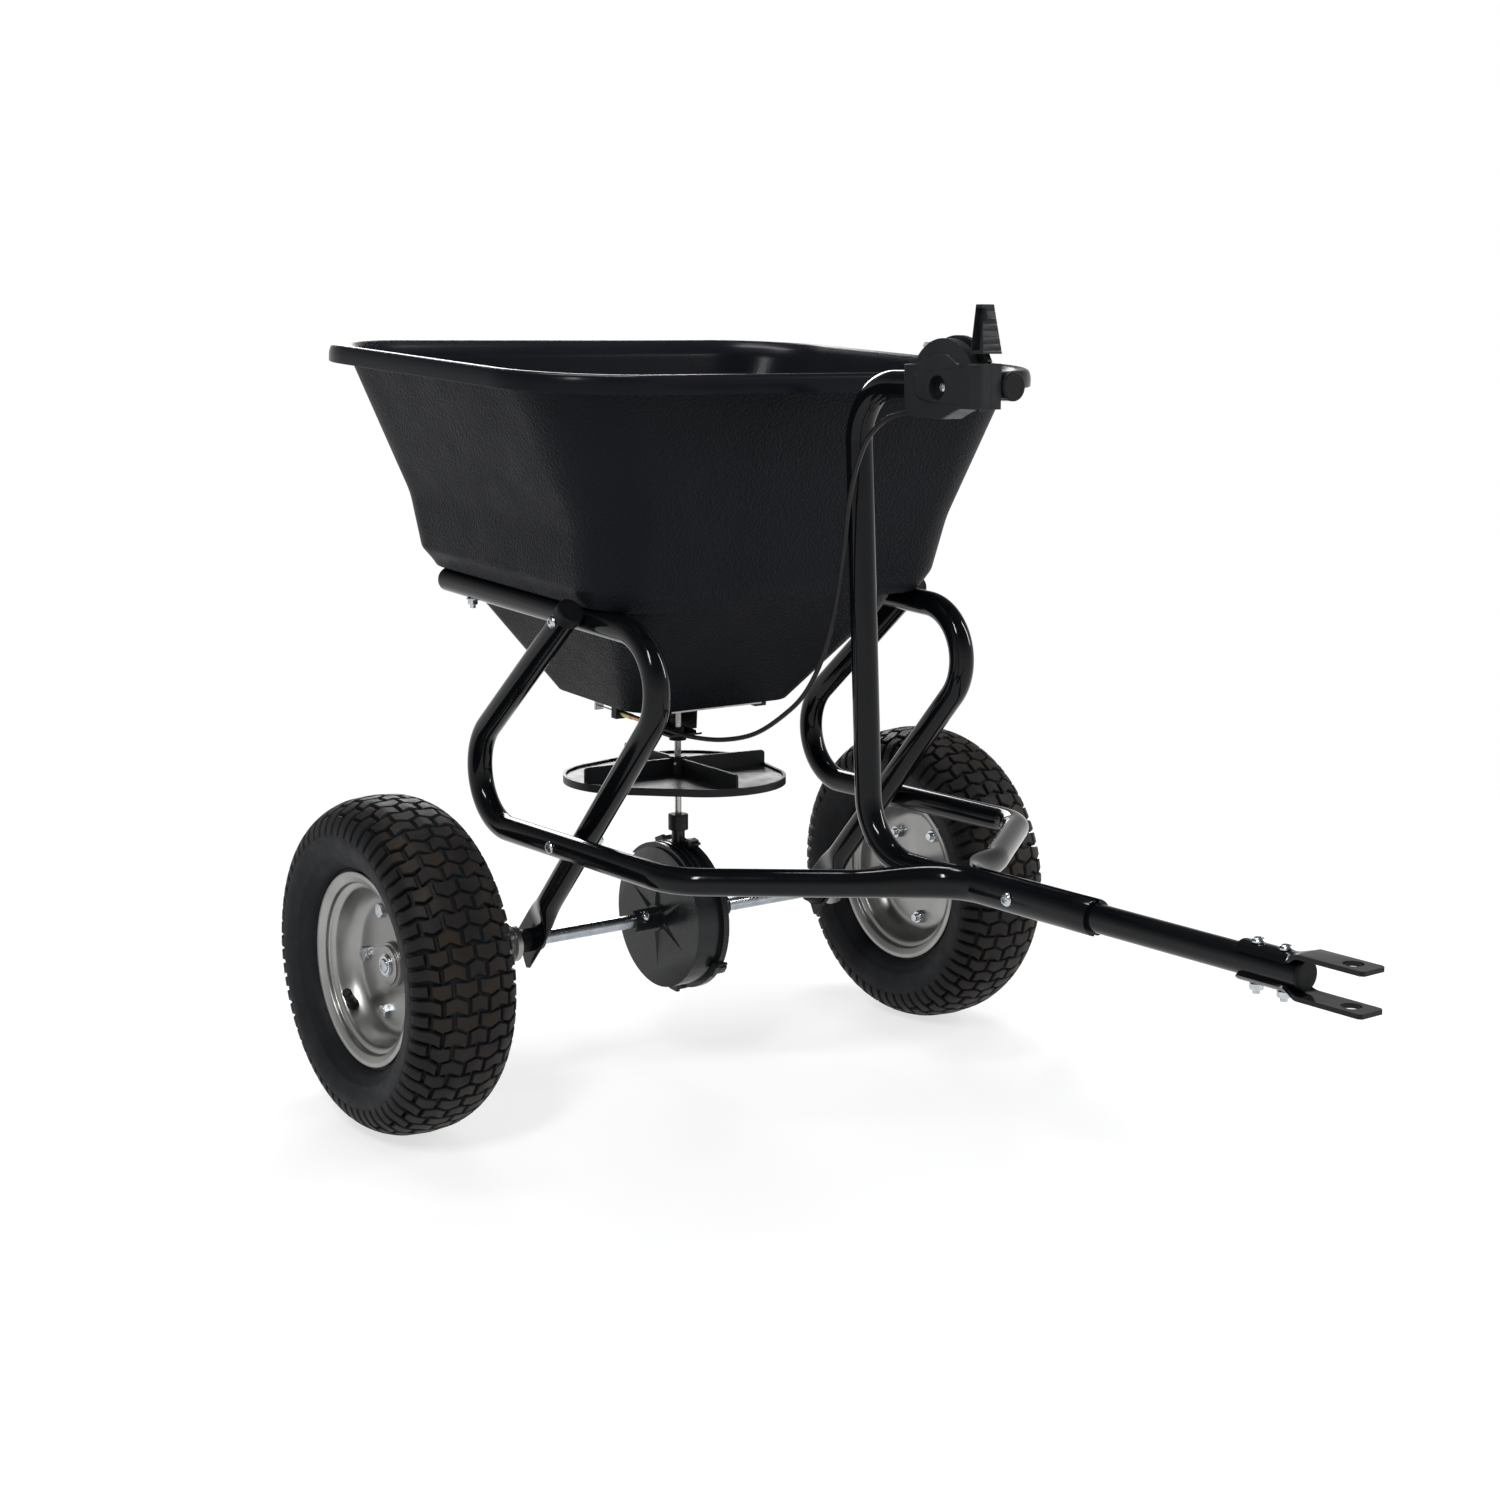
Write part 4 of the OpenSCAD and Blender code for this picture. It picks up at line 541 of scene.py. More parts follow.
# Leg: rail, bend and strut as a round tube, then rings that flatten into the plate at the axle.
def legTube():
    k = tube
    radius, wide, thin = k["radius"], k["flatWidth"], k["flatHalf"]
    knee = np.array([k["legX"], k["kneeY"], railAt(k["kneeY"])])
    foot = np.array([k["legX"], k["footY"], axleZ - k["footDrop"]])
    way = (foot - knee) / np.linalg.norm(foot - knee)
    start = (k["legX"], k["railBack"], railAt(k["railBack"]))
    path = bentPath([start, knee, foot - way * k["flatFrom"]], [0, k["legBend"], 0], 2.5)
    turn = np.radians((np.arange(k["legColumns"]) + 0.5) * 360 / k["legColumns"])
    # Shallow ripples where the press closed the inside of the bend.
    row = np.arange(len(path))
    bend = np.exp(-((row - 0.5 * len(path)) / (0.16 * len(path))) ** 2)
    inner = np.clip(-np.sin(turn), 0, 1) ** 4
    wave = k["ripple"] * bend[:, None] * inner[None, :] * np.cos(row * 0.9)[:, None]
    straight = tubeRings(path, (1, 0, 0), radius - np.abs(wave), turn)
    # Flat end: circle easing to a rounded box, its last rings closing into a round tip.
    side = np.array([0, way[2], -way[1]])
    s = np.concatenate([np.linspace(k["flatFrom"] - 4, k["flatTo"], 16), [17, 8, 2, -3, -7]])
    w = ease((k["flatFrom"] - s) / (k["flatFrom"] - k["flatTo"]))[:, None]
    p = 1 - 0.65 * w
    a = (radius * (1 - w) + wide * w) * np.where(s <= -7, 0.84, 1)[:, None]
    b = radius * (1 - w) + thin * w
    u = power(np.sin(turn)[None, :], p)
    along = s[:, None] - np.where(s < 0, 6.3, 0)[:, None] * u
    across = b * power(np.cos(turn)[None, :], p)
    flat = (foot - way * along[..., None] + np.array([1, 0, 0]) * across[..., None]
            + side * (a * u + 2 * w)[..., None])
    # The carried frame may meet the flat end's own axes with its columns the other way round.
    if ((straight[-1] - flat[0]) ** 2).sum() > ((straight[-1][::-1] - flat[0]) ** 2).sum():
        flat = flat[:, ::-1]
    return gridPart(np.concatenate([straight, flat]), closeCols=True, capEnds=True)


leg = legTube()
makePiece("legTubeRight", [leg], "frame", blackPaint, ["leg_right"], 50)
makePiece("legTubeLeft", [mirrored(leg)], "frame", blackPaint, ["leg_left"], 50)


# Frame tube: round from the cap to the inward run, then pressed into a half shell round the drawbar.
def frameTube():
    k = tube
    inner, outer = k["radius"] + 0.15, k["radius"] + 0.15 + k["sheet"]
    mid = (inner + outer) / 2
    inward, turn = math.radians(k["inward"]), k["turnRadius"]
    out = np.array([k["frameX"], k["bendOut"], k["barZ"]])
    way = np.array([-math.sin(inward), -math.cos(inward), 0])
    meet = np.array([mid, out[1] - (k["frameX"] - mid) / math.tan(inward), k["barZ"]])
    path = bentPath([(k["frameX"], *k["cap"]), (k["frameX"], k["kneeBack"], k["barZ"]), out,
                     meet - way * (k["pressedFrom"] + 2)], [0, k["frameBend"], k["frameBend"], 0], 3)
    straight = tubeRings(path, (1, 0, 0), k["radius"], around)
    # Shell section: the round tube's outer columns on the outer radius, the others on the inner one.
    d = np.degrees(around)
    q = np.radians(np.where(d < 90, d, 180 - d) * 82 / 88)
    skinRadius = np.where(d < 90, outer, inner)
    shell = np.stack([skinRadius * np.cos(q) - mid, skinRadius * np.sin(q)], -1)
    circle = k["radius"] * np.stack([np.cos(around), np.sin(around)], -1)

    def ring(p, a, w):
        section = circle * (1 - w) + shell * w
        across = np.array([math.cos(a), -math.sin(a), 0])
        return p + section[:, :1] * across + section[:, 1:] * np.array([0, 0, 1.0])
    cut = turn * math.tan(inward / 2)
    rings = [ring(meet - way * (k["pressedFrom"] + (cut + 2 - k["pressedFrom"]) * i / 16), inward,
                  float(ease(i / 16))) for i in range(1, 17)]
    centre = meet - way * cut + turn * np.array([math.cos(inward), -math.sin(inward), 0])
    for a in np.linspace(inward, 0, 10):
        rings.append(ring(centre - turn * np.array([math.cos(a), -math.sin(a), 0]), a, 1))
    rings += [ring(np.array([mid, y, k["barZ"]]), 0, 1) for y in (-545, -580, k["shellEnd"] + 0.6)]
    last = ring(np.array([mid, k["shellEnd"], k["barZ"]]), 0, 1)
    rings.append(last + (last.mean(0) - last) * 0.02 * np.array([1, 0, 1]))
    return gridPart(np.concatenate([straight, np.array(rings)]), closeCols=True, capEnds=True)


frameSide = frameTube()
makePiece("frameTubeRight", [frameSide], "frame", blackPaint, ["frame_right"], 50)
makePiece("frameTubeLeft", [mirrored(frameSide)], "frame", blackPaint, ["frame_left"], 50)



# Tow tube: mast, back bend, upright and drawbar in one bent tube.
def towTube():
    k = tube
    path = bentPath([(0, -k["mastReach"], k["mast"]), (0, -k["mastKnee"], k["mast"]),
                     (0, -k["barKnee"], k["barZ"]), (0, -k["barReach"], k["barZ"])],
                    [0, k["mastBend"], k["barBend"], 0], 3)
    turn = fullTurn(k["towColumns"])
    return gridPart(tubeRings(path, (1, 0, 0), k["radius"], turn), closeCols=True, capEnds=True)


makePiece("towTube", [towTube()], "frame", blackPaint, ["tow_tube"], 50)
print("tubes ready")


# ---- wheels ----

tyre = {"radius": 165, "halfWidth": 54, "flange": 95.4, "x": 335, "leftTurn": 17.5, "rightTurn": -5,
        "rows": 121, "columns": 224, "pitches": 32, "depth": 3.6, "lugDepth": 6.6, "lugEnd": 70,
        "groove": 3.4, "gap": 4.2, "zigzag": -5.4, "rounding": 0.7, "blockWall": 9.0, "deepFrom": 20,
        "deepOver": 22, "fadeBefore": 9, "fadeOver": 10, "narrowing": 0.11, "ringAt": 92, "ringHeight": 0.5,
        "ringSpread": 1.2, "splits": ((0, (-47.6, -25.4, 0, 25.4, 47.6)), (0.5, (-35.5, -10.2, 10.2, 35.5))),
        "outline": [(0, 165), (21, 163.5), (33, 159.3), (41, 154.5), (47, 149.5), (51, 143.5), (53.6, 137),
                    (54, 131), (53.4, 124), (49.6, 113), (40.6, 100.9), (33.5, 97.4)]}
# The outline's points from the tread's middle to the bead, how far along each one lies, and its normals.
outline = eased(tyre["outline"], 4, 5)
outlineS = np.concatenate([[0], np.cumsum(np.linalg.norm(np.diff(outline, axis=0), axis=1))])
outlineN = np.gradient(outline, outlineS, axis=0)
outlineN = np.stack([-outlineN[:, 1], outlineN[:, 0]], -1)
outlineN /= np.linalg.norm(outlineN, axis=1)[:, None]


# Tyre surface at distance s from the middle line and angle t, sunk by a depth along its normal.
def tyrePoint(s, t, sink):
    m = np.abs(s)
    v, r = np.interp(m, outlineS, outline[:, 0]), np.interp(m, outlineS, outline[:, 1])
    nv, nr = np.interp(m, outlineS, outlineN[:, 0]), np.interp(m, outlineS, outlineN[:, 1])
    v, r = v - nv * sink, r - nr * sink
    return np.stack(np.broadcast_arrays(np.sign(s + 1e-9) * v, r * np.cos(t), axleZ + r * np.sin(t)), -1)


# How deep the grooves lie: deeper towards the shoulder, fading out where the lugs end.
def treadDepth(s):
    m = np.abs(s)
    lower = ease((m - tyre["deepFrom"]) / tyre["deepOver"])
    deep = tyre["depth"] + (tyre["lugDepth"] - tyre["depth"]) * lower
    return deep * (1 - ease((m - tyre["lugEnd"] + tyre["fadeBefore"]) / tyre["fadeOver"]))


# Zigzag line across the tread: low, high, low, high towards the shoulder, then straight.
def zigzag(s):
    at, swing = [0, 12.5, 23, 37, 47, 56, 80], [0.5, -0.5, 0.5, -0.5, 0.35, 0.1, 0.1]
    return tyre["zigzag"] * np.interp(np.abs(s), at, swing)


# One tread block between two lateral edges, as a pillow: height falls off near all four sides.
def treadBlocks(low, high, phase, turns):
    cut, wall = tyre["rounding"], tyre["blockWall"]
    span = np.linspace(low + cut, high - cut, 7)
    s = np.concatenate([[low - 0.5, low], span, [high, high + 0.5]])
    sinkS = np.concatenate([[wall, cut], np.zeros(7), [cut, wall]])
    # Shoulder lugs: their outer ends run out into the sidewall.
    if high == tyre["lugEnd"]:
        sinkS[-2:] = (0.2, 1.2)
    if low == -tyre["lugEnd"]:
        sinkS[:2] = (1.2, 0.2)
    narrow = 1 - tyre["narrowing"] * ease((np.abs(s) - 30) / 15)
    half = np.pi * tyre["radius"] / tyre["pitches"] / 2 - tyre["groove"] / 2
    u = np.array([-half - 0.5, -half, -half + cut, 0, half - cut, half, half + 0.5])
    sinkU = np.array([wall, cut, 0, 0, 0, cut, wall])
    sink = np.minimum(np.maximum(sinkS[None, :], sinkU[:, None]), treadDepth(s)[None, :] + 1.0)
    # Blocks of the first row are shields with a nearly straight back; the others are bent all through.
    follow = np.where((u[:, None] < 0) & (phase == 0), 0.25, 1.0)
    arc = (u[:, None] * narrow[None, :] + follow * zigzag(s)[None, :]) / tyre["radius"]
    t = (np.arange(turns)[:, None, None] + phase) * 2 * np.pi / turns + arc[None]
    points = tyrePoint(s[None, None, :], t, sink[None])
    rows, cols = len(u), len(s)
    faces = gridFaces(rows, cols)
    rim = np.concatenate([np.arange(cols), np.arange(1, rows) * cols + cols - 1,
                          (rows - 1) * cols + np.arange(cols - 1)[::-1], np.arange(1, rows - 1)[::-1] * cols])
    every = []
    for k in range(turns):
        every += (faces + k * rows * cols).tolist() + [(rim + k * rows * cols).tolist()[::-1]]
    tint = np.broadcast_to((sink < 0.5) * (1 - 0.75 * ease((np.abs(s) - 38) / 16))[None, :], points.shape[:3])
    return (points.reshape(-1, 3), every), tint.ravel()


# Small moulding nibs: pyramids up to two millimetres long, kept inside the tyre's width.
def nibs(count, lows, seed):
    draw = np.random.default_rng(seed)
    s = draw.uniform(*lows, count) * draw.choice([-1, 1], count)
    t = draw.uniform(0, 2 * np.pi, count)
    reach = draw.uniform(0.5, 1.6, count)
    base = tyrePoint(s[:, None], t[:, None] + np.array([-1, 0, 1, 0]) * 0.0036, 0.4)
    base[..., 0] += np.array([0, 1, 0, -1]) * 0.55
    tip = tyrePoint(s, t, -reach)[:, None]
    tip[..., 0] = np.clip(tip[..., 0], 0.1 - tyre["halfWidth"], tyre["halfWidth"] - 0.1)
    points = np.concatenate([base, tip], 1).reshape(-1, 3)
    shape = np.array([[0, 1, 4], [1, 2, 4], [2, 3, 4], [3, 0, 4]])
    faces = (shape[None] + 5 * np.arange(count)[:, None, None]).reshape(-1, 3).tolist()
    faces += [[5 * i + 3, 5 * i + 2, 5 * i + 1, 5 * i] for i in range(count)]
    return points, faces


# Carcass: the outline sunk under the tread, a bead on the rim and the inside wall.
def carcass():
    k, f = tyre, tyre["flange"]
    s = np.linspace(-outlineS[-1], outlineS[-1], k["rows"])
    sink = treadDepth(s)
    # A raised ring round the sidewall.
    ringLine = k["ringHeight"] * np.exp(-((np.abs(s) - k["ringAt"]) / k["ringSpread"]) ** 2)
    t = fullTurn(k["columns"])
    outside = tyrePoint(s[:, None], t[None, :], (sink - ringLine)[:, None])
    bead = [(33.5, f + 1), (33.2, f - 3), (31, f - 9), (26, f - 9), (25.6, f + 1), (33, f + 10), (43, 118),
            (47, 131), (46, 138), (41, 145), (32, 151), (20, 155), (0, 156)]
    inner = np.array(bead + [(-v, r) for v, r in bead[-2::-1]])
    r = inner[:, 1:]
    inside = np.stack(np.broadcast_arrays(inner[:, :1], r * np.cos(t), axleZ + r * np.sin(t)), -1)
    tint = np.concatenate([0.25 * np.repeat(sink > 3, len(t)), np.zeros(len(inner) * len(t))])
    return gridPart(np.concatenate([outside, inside]), closeRows=True, closeCols=True), tint


def makeTyre(name, side, body, node, seed):
    k = tyre
    made = [carcass()]
    for phase, splits in k["splits"]:
        starts = [-k["lugEnd"], *(edge + k["gap"] / 2 for edge in splits)]
        stops = [*(edge - k["gap"] / 2 for edge in splits), k["lugEnd"]]
        made += [treadBlocks(low, high, phase, k["pitches"]) for low, high in zip(starts, stops)]
    for part in (nibs(70, (44, 64), seed), nibs(46, (80, 100), seed + 1)):
        made.append((part, np.zeros(len(part[0]))))
    turn = k["leftTurn"] if side < 0 else k["rightTurn"]
    parts = [turned((p * [side, 1, 1] + [side * k["x"], 0, 0], f), turn) for (p, f), _ in made]
    makePiece(name, parts, body, tyreRubber, [node], 42, [tint for _, tint in made])


makeTyre("turfTyreLeft", -1, nodeBody["tyre_left"], "tyre_left", 7)
makeTyre("turfTyreRight", 1, nodeBody["tyre_right"], "tyre_right", 11)
print("tyres ready")

rim = {"flange": 95.4, "half": 35.6, "well": 78.5, "sheet": 2, "bore": 13.1, "seam": 0.1, "valveTurn": 30.3,
       "valveZ": 17.2, "valveLean": -60,
       "valve": [(-7.4, 0), (-7.4, 7), (-4.6, 7), (-4.2, 4.5), (3.4, 4.5), (3.8, 6.2), (7, 6), (13, 4.9),
                 (24, 4.7), (24.4, 4.3), (25.4, 4.3), (25.9, 4.8), (36, 4.6), (37.4, 3.6), (37.6, 0)]}


# Rim half: the pressed sheet's section with its corners eased, up its outer face and back down the inner one.
def rimSection():
    f, half, w, t, at = rim["flange"], rim["half"], rim["well"], rim["sheet"], rim["seam"]
    up = [(at, rim["bore"]), (at, w - 16), (at + 1, w - 11), (at + 4, w - 6.8), (10, w - 3), (17.4, w),
          (half - 12.4, w + 1.9), (half - 11, w + 3.2), (half - 10.2, f - 11.2), (half - 8.8, f - 9.6),
          (half - 4, f - 9.6), (half - 1.6, f - 3.4), (half - 1.4, f - 0.6), (half, f)]
    down = [(half + 0.6, f - 1), (half + 0.5, f - 4.4), (half - 3, f - 9.6 - t), (half - 7.6, f - 9.6 - t),
            (half - 8.6, f - 12.6 - t), (half - 9.4, w + 2.4 - t), (half - 11, w + 0.6 - t),
            (17.8, w - 1.2 - t), (11.2, w - 3.8 - t), (6, w - 7.6 - t), (at + t + 1, w - 11 - t),
            (at + t, w - 15 - t), (at + t, rim["bore"])]
    reach = [0.2, 2.5, 2.5, 3, 3, 3, 1, 1, 1.2, 1, 1.5, 1.2, 0.5, 0.4, 0.4, 1.2, 1.5, 1.5, 1, 1, 1, 3, 3.5,
             3.5, 3, 2.5, 0.2]
    return eased(up + down, reach, 4, closed=True)


# Snap-in valve: a turned profile that leans in towards the hub and out of the rim.
def valveStem(side, turn):
    s, r = eased(rim["valve"], 0.5, 3).T
    t = fullTurn(28)
    x, y, z = r[:, None] * np.cos(t), r[:, None] * np.sin(t), s[:, None]
    lean, spot = math.radians(rim["valveLean"]), math.radians(rim["valveTurn"] + turn)
    away = x * math.cos(lean) + z * math.sin(lean) + rim["well"] - 1.7
    out = -x * math.sin(lean) + z * math.cos(lean) + rim["valveZ"]
    # A spot angle of zero lies straight below the hub.
    points = [side * (tyre["x"] + out), away * math.sin(spot) + y * math.cos(spot),
              axleZ + y * math.sin(spot) - away * math.cos(spot)]
    return gridPart(np.stack(points, -1), closeCols=True)


rimProfile = rimSection()
for side, word in ((-1, "left"), (1, "right")):
    for hand, half in ((1, "outer"), (-1, "inner")):
        node = f"rim_{word}_{half}"
        part = lathe(rimProfile, side * tyre["x"], side * hand, 144)
        makePiece(f"rimHalf{word.capitalize()}{half.capitalize()}", [part], nodeBody[node], rimSilver,
                  [node], 45)
    node = f"valve_{word}"
    makePiece(f"valveStem{word.capitalize()}", [valveStem(side, tyre[f"{word}Turn"])], nodeBody[node],
              softRubber, [node], 40)
print("rims ready")


# ---- turned steel ----

axleBar = {"half": 348, "radius": 7, "chamfer": 1, "ring": 346, "ringHalf": 0.7, "ringRadius": 6.3}
shaft = {"low": 212.5, "high": 442, "radius": 3.5, "chamfer": 1}
shaftCollar = {"low": 255.5, "high": 272, "radius": 10.5, "bore": 3.6}


# Axle: a bar with chamfered ends and a groove near each end for a spring ring.
def axleProfile():
    k = axleBar
    h, r, inner, outer = k["half"], k["radius"], k["ring"] - k["ringHalf"], k["ring"] + k["ringHalf"]
    end = [(h, 0), (h, r - k["chamfer"]), (h - k["chamfer"], r), (outer, r), (outer, k["ringRadius"]),
           (inner, k["ringRadius"]), (inner, r)]
    return eased([(-x, y) for x, y in end] + end[::-1], 0.25, 2)


makePiece("axleBar", [lathe(axleProfile(), steps=48, closed=False)], nodeBody["axle"], galvanised,
          ["axle"], 40)


# Upright turned part: profile of (height, radius) about the shaft's line.
def upright(profile, steps=40):
    z, r = np.asarray(profile, float).T
    t = fullTurn(steps)
    rings = np.broadcast_arrays(r[:, None] * np.cos(t), r[:, None] * np.sin(t), z[:, None])
    return gridPart(np.stack(rings, -1), closeCols=True)


def shaftProfile():
    low, high, r, c = shaft["low"], shaft["high"], shaft["radius"], shaft["chamfer"]
    return eased([(low, 0), (low, r), (high - c, r), (high, r - c), (high, 0)], 0.3, 2)


def collarProfile():
    low, high, r, bore = (shaftCollar[word] for word in ("low", "high", "radius", "bore"))
    return eased([(low, bore), (low, r), (high, r), (high, bore)], 0.8, 3)


makePiece("uprightShaft", [upright(shaftProfile())], nodeBody["shaft"], barSteel, ["shaft"], 40)
makePiece("shaftCollarTurned", [upright(collarProfile())], nodeBody["shaft_collar"], blackPlastic,
          ["shaft_collar"], 40)

# ---- control cable ----

cable = {"diameter": 4.6, "sides": 14, "ferrule": (-70, -22.1, 385),
         "points": [(-24, -403, 698.4), (-24, -387, 697), (-24, -361, 691), (-23, -335, 674),
                    (-22, -317, 647), (-22, -306, 612), (-23, -300, 567), (-27, -294, 518), (-33, -283, 471),
                    (-40, -266, 436), (-47, -243, 413), (-55, -208, 391), (-62, -166, 380), (-67, -122, 377),
                    (-70, -82, 379)]}


# Smooth cubic through the stops, evaluated for all spans at once.
def smoothPath(p, steps=8):
    a = np.concatenate([p[:1], p, p[-1:]])
    t = (np.arange(steps) / steps)[None, :, None]
    p0, p1, p2, p3 = (a[i:len(a) - 3 + i, None] for i in range(4))
    curve = 0.5 * (2 * p1 + (p2 - p0) * t + (2 * p0 - 5 * p1 + 4 * p2 - p3) * t ** 2
                   + (3 * p1 - p0 - 3 * p2 + p3) * t ** 3)
    return np.concatenate([curve.reshape(-1, 3), p[-1:]])


# From the control unit down beside the mast, back under the hopper and straight into the ferrule.
def cableSheath():
    end = leaned(np.array(cable["ferrule"]))
    line = smoothPath(np.array([*cable["points"], end + [0, -12, -0.76], end]))
    turn = fullTurn(cable["sides"])
    return gridPart(tubeRings(line, (1, 0, 0), cable["diameter"] / 2, turn), closeCols=True, capEnds=True)


makePiece("controlCableSheath", [cableSheath()], "frame", cableSkin, ["control_cable"], 50)
print("turned parts and cable ready")

# ---- face of the control unit's cover ----

cover = {"x": -34, "pivotY": -441, "pivotZ": 719.6, "recess": 10.35, "dialY": -445, "dialRadius": 41.4,
         "back": -397.2, "front": -495.8, "blockTop": 739.2, "block": 1.75, "panel": 1.25, "hump": 8.2,
         "roll": 0.45, "steps": 320, "rings": 72}


# Height over the cover's side: the dial lies low, and the block under it has a humped top and a raised panel.
def coverHeight(y, z):
    k = cover
    edge = k["blockTop"] + k["hump"] * (ease((-410 - y) / 22) - ease((-450 - y) / 18))
    block = 1 - ease((z - edge + 0.9) / 1.6)
    top = np.interp(-y, [411, 414, 430, 459, 487], [729, 731.5, 734.4, 736.6, 737.4])
    low = np.interp(-y, [411, 414, 421, 432, 468, 487], [714, 711.5, 708.6, 706.2, 704, 703.8])
    inside = np.minimum(np.minimum(top - z, z - low), np.minimum(-411 - y, y + 488))
    return 0.06 + k["block"] * block + k["panel"] * block * ease(inside / 2.0)


# Rings from the screw recess out to the outline, each point raised by the height above.
def coverFace():
    k = cover
    a = np.radians(np.linspace(29.6, 150.4, 90))
    arc = np.column_stack([k["dialY"] - k["dialRadius"] * np.cos(a),
                           k["pivotZ"] + k["dialRadius"] * np.sin(a)])
    line = np.array([(k["back"], 738.8), (k["back"], 703), (-400, 696.7), (-405, 693.7), (-447, 693.2),
                     (-459, 698.7), (-469, 702.2), (k["front"], 702.2), (k["front"], 739.8), *arc,
                     (k["back"], 738.8)])
    f = np.linspace(0, 1, 40, endpoint=False)[None, :, None]
    dense = (line[:-1, None] * (1 - f) + line[1:, None] * f).reshape(-1, 2) - [k["pivotY"], k["pivotZ"]]
    angle, far = np.arctan2(dense[:, 1], dense[:, 0]), np.linalg.norm(dense, axis=1)
    order = np.argsort(angle)
    t = fullTurn(k["steps"]) - np.pi
    reach = np.interp(t, angle[order], far[order], period=2 * np.pi)
    s = np.linspace(0, 1, k["rings"])[:, None]
    radius = k["recess"] + (reach[None, :] - k["recess"]) * s
    y, z = k["pivotY"] + radius * np.cos(t), k["pivotZ"] + radius * np.sin(t)
    height = coverHeight(y, z) - k["roll"] * (ease((s - 0.965) / 0.035) + ease((0.03 - s) / 0.03))
    top = np.stack([k["x"] - height, y, z], -1)
    under = top[[-1, 0]] * [0, 1, 1] + [k["x"] + 0.4, 0, 0]
    return gridPart(np.concatenate([top, under]), closeRows=True, closeCols=True)


makePiece("controlCoverFace", [coverFace()], "frame", blackPlastic, (), 50)

# ---- CAD pieces with rounded edges ----

paint, plastic, zinc = (blackPaint, "black_paint"), (blackPlastic, "black_plastic"), (zincPlate, "zinc")
rubber, steel, shiny = (softRubber, "rubber"), (barSteel, "steel"), (glossPlastic, "black_plastic")
silver, brass, copper = (rimSilver, "rim_steel"), (yellowBrass, "brass"), (copperCrimp, "copper")
# Each node's piece: its name, finish, slot and how far its edges are rounded.
pieces = {
    "hitch_upper": ("hitchStrapUpper", *paint, 0.5), "hitch_lower": ("hitchStrapLower", *paint, 0.5),
    "gate_rails": ("gateRails", *paint, 0.3), "shaft_bracket": ("shaftBracket", *paint, 0.3),
    "gearbox_left": ("gearCaseLeft", *shiny, 0.35), "gearbox_right": ("gearCaseRight", *shiny, 0.35),
    "gear_collars": ("axleCollars", *shiny, 0.4), "disc": ("spreadingDisc", *plastic, 0.4),
    "crown_gear": ("crownGear", *plastic, 0), "pinion": ("pinionGear", *plastic, 0),
    "cable_clip": ("cableClip", *plastic, 0.3), "control_housing": ("controlCover", *plastic, 0.5),
    "control_base": ("controlBase", *plastic, 0.4), "control_clamp": ("mastClamp", *plastic, 0.4),
    "lever": ("gateLever", *plastic, 0.4),
    "hopper_bolts": ("hopperScrews", *zinc, 0.2), "frame_bolts": ("frameCrossBolts", *zinc, 0.2),
    "shell_bolt": ("shellBolt", *zinc, 0.2), "hitch_bolts": ("hitchBolts", *zinc, 0.2),
    "wheel_bolts_left": ("wheelBoltsLeft", *zinc, 0.25),
    "wheel_bolts_right": ("wheelBoltsRight", *zinc, 0.25),
    "drive_pin": ("drivePin", *zinc, 0.2), "collar_screws": ("collarScrews", *zinc, 0.15),
    "control_screw": ("pivotScrew", *zinc, 0.15), "stop_bolt": ("stopBolt", *zinc, 0.2),
    "axle_rings": ("axleRings", *zinc, 0.2), "disc_pin": ("discPin", *zinc, 0.2),
    "agitator": ("agitatorPin", *steel, 0.2), "gate": ("gatePlate", *steel, 0.2),
    "gate_wire": ("gateWire", *steel, 0),
    "hub_left": ("hubLeft", *silver, 0.4), "hub_right": ("hubRight", *silver, 0.4),
    "leg_plugs": ("legPlugs", *rubber, 0.4), "frame_caps": ("frameCaps", *rubber, 0.5),
    "tow_plugs": ("towPlugs", *rubber, 0.4), "bushings": ("axleBushings", *rubber, 0.4),
    "spacers": ("axleSpacers", *rubber, 0.4), "shaft_bushing": ("shaftBushing", *rubber, 0.3),
    "cable_barrel": ("cableBarrel", *brass, 0.2), "cable_ferrule": ("cableFerrule", *copper, 0.2)}
for node, (name, material, slot, edge) in pieces.items():
    refined(name, node, material, edge)
print("small pieces ready")

# ---- camera, light and floor ----

view = {"place": (-1347.5, -1937.6, 758.6), "azimuth": -36.64, "elevation": 10.07, "lens": 55.27}
lamps = {  # place, point it faces, width, height, watts
    "keySoftBox": ((-2.2, -1.4, 2.9), (0, 0, 0.4), 0.4, 1.2, 76),
    "rightSoftBox": ((2.6, -1.2, 1.9), (0, 0, 0.4), 0.3, 1.8, 58),
    "topSoftBox": ((0.2, 0.9, 3.2), (0, 0.2, 0.4), 1.6, 0.5, 52),
    "rearSoftBox": ((1.2, 2.8, 1.6), (0, 0.2, 0.5), 1.2, 1.2, 45)}
studio = {"soft": 0.42, "horizon": 0.8, "overhead": 0.1}
ground = {"reach": 14.0, "clear": 0.8, "white": 2.2, "leastGlow": 0.68}


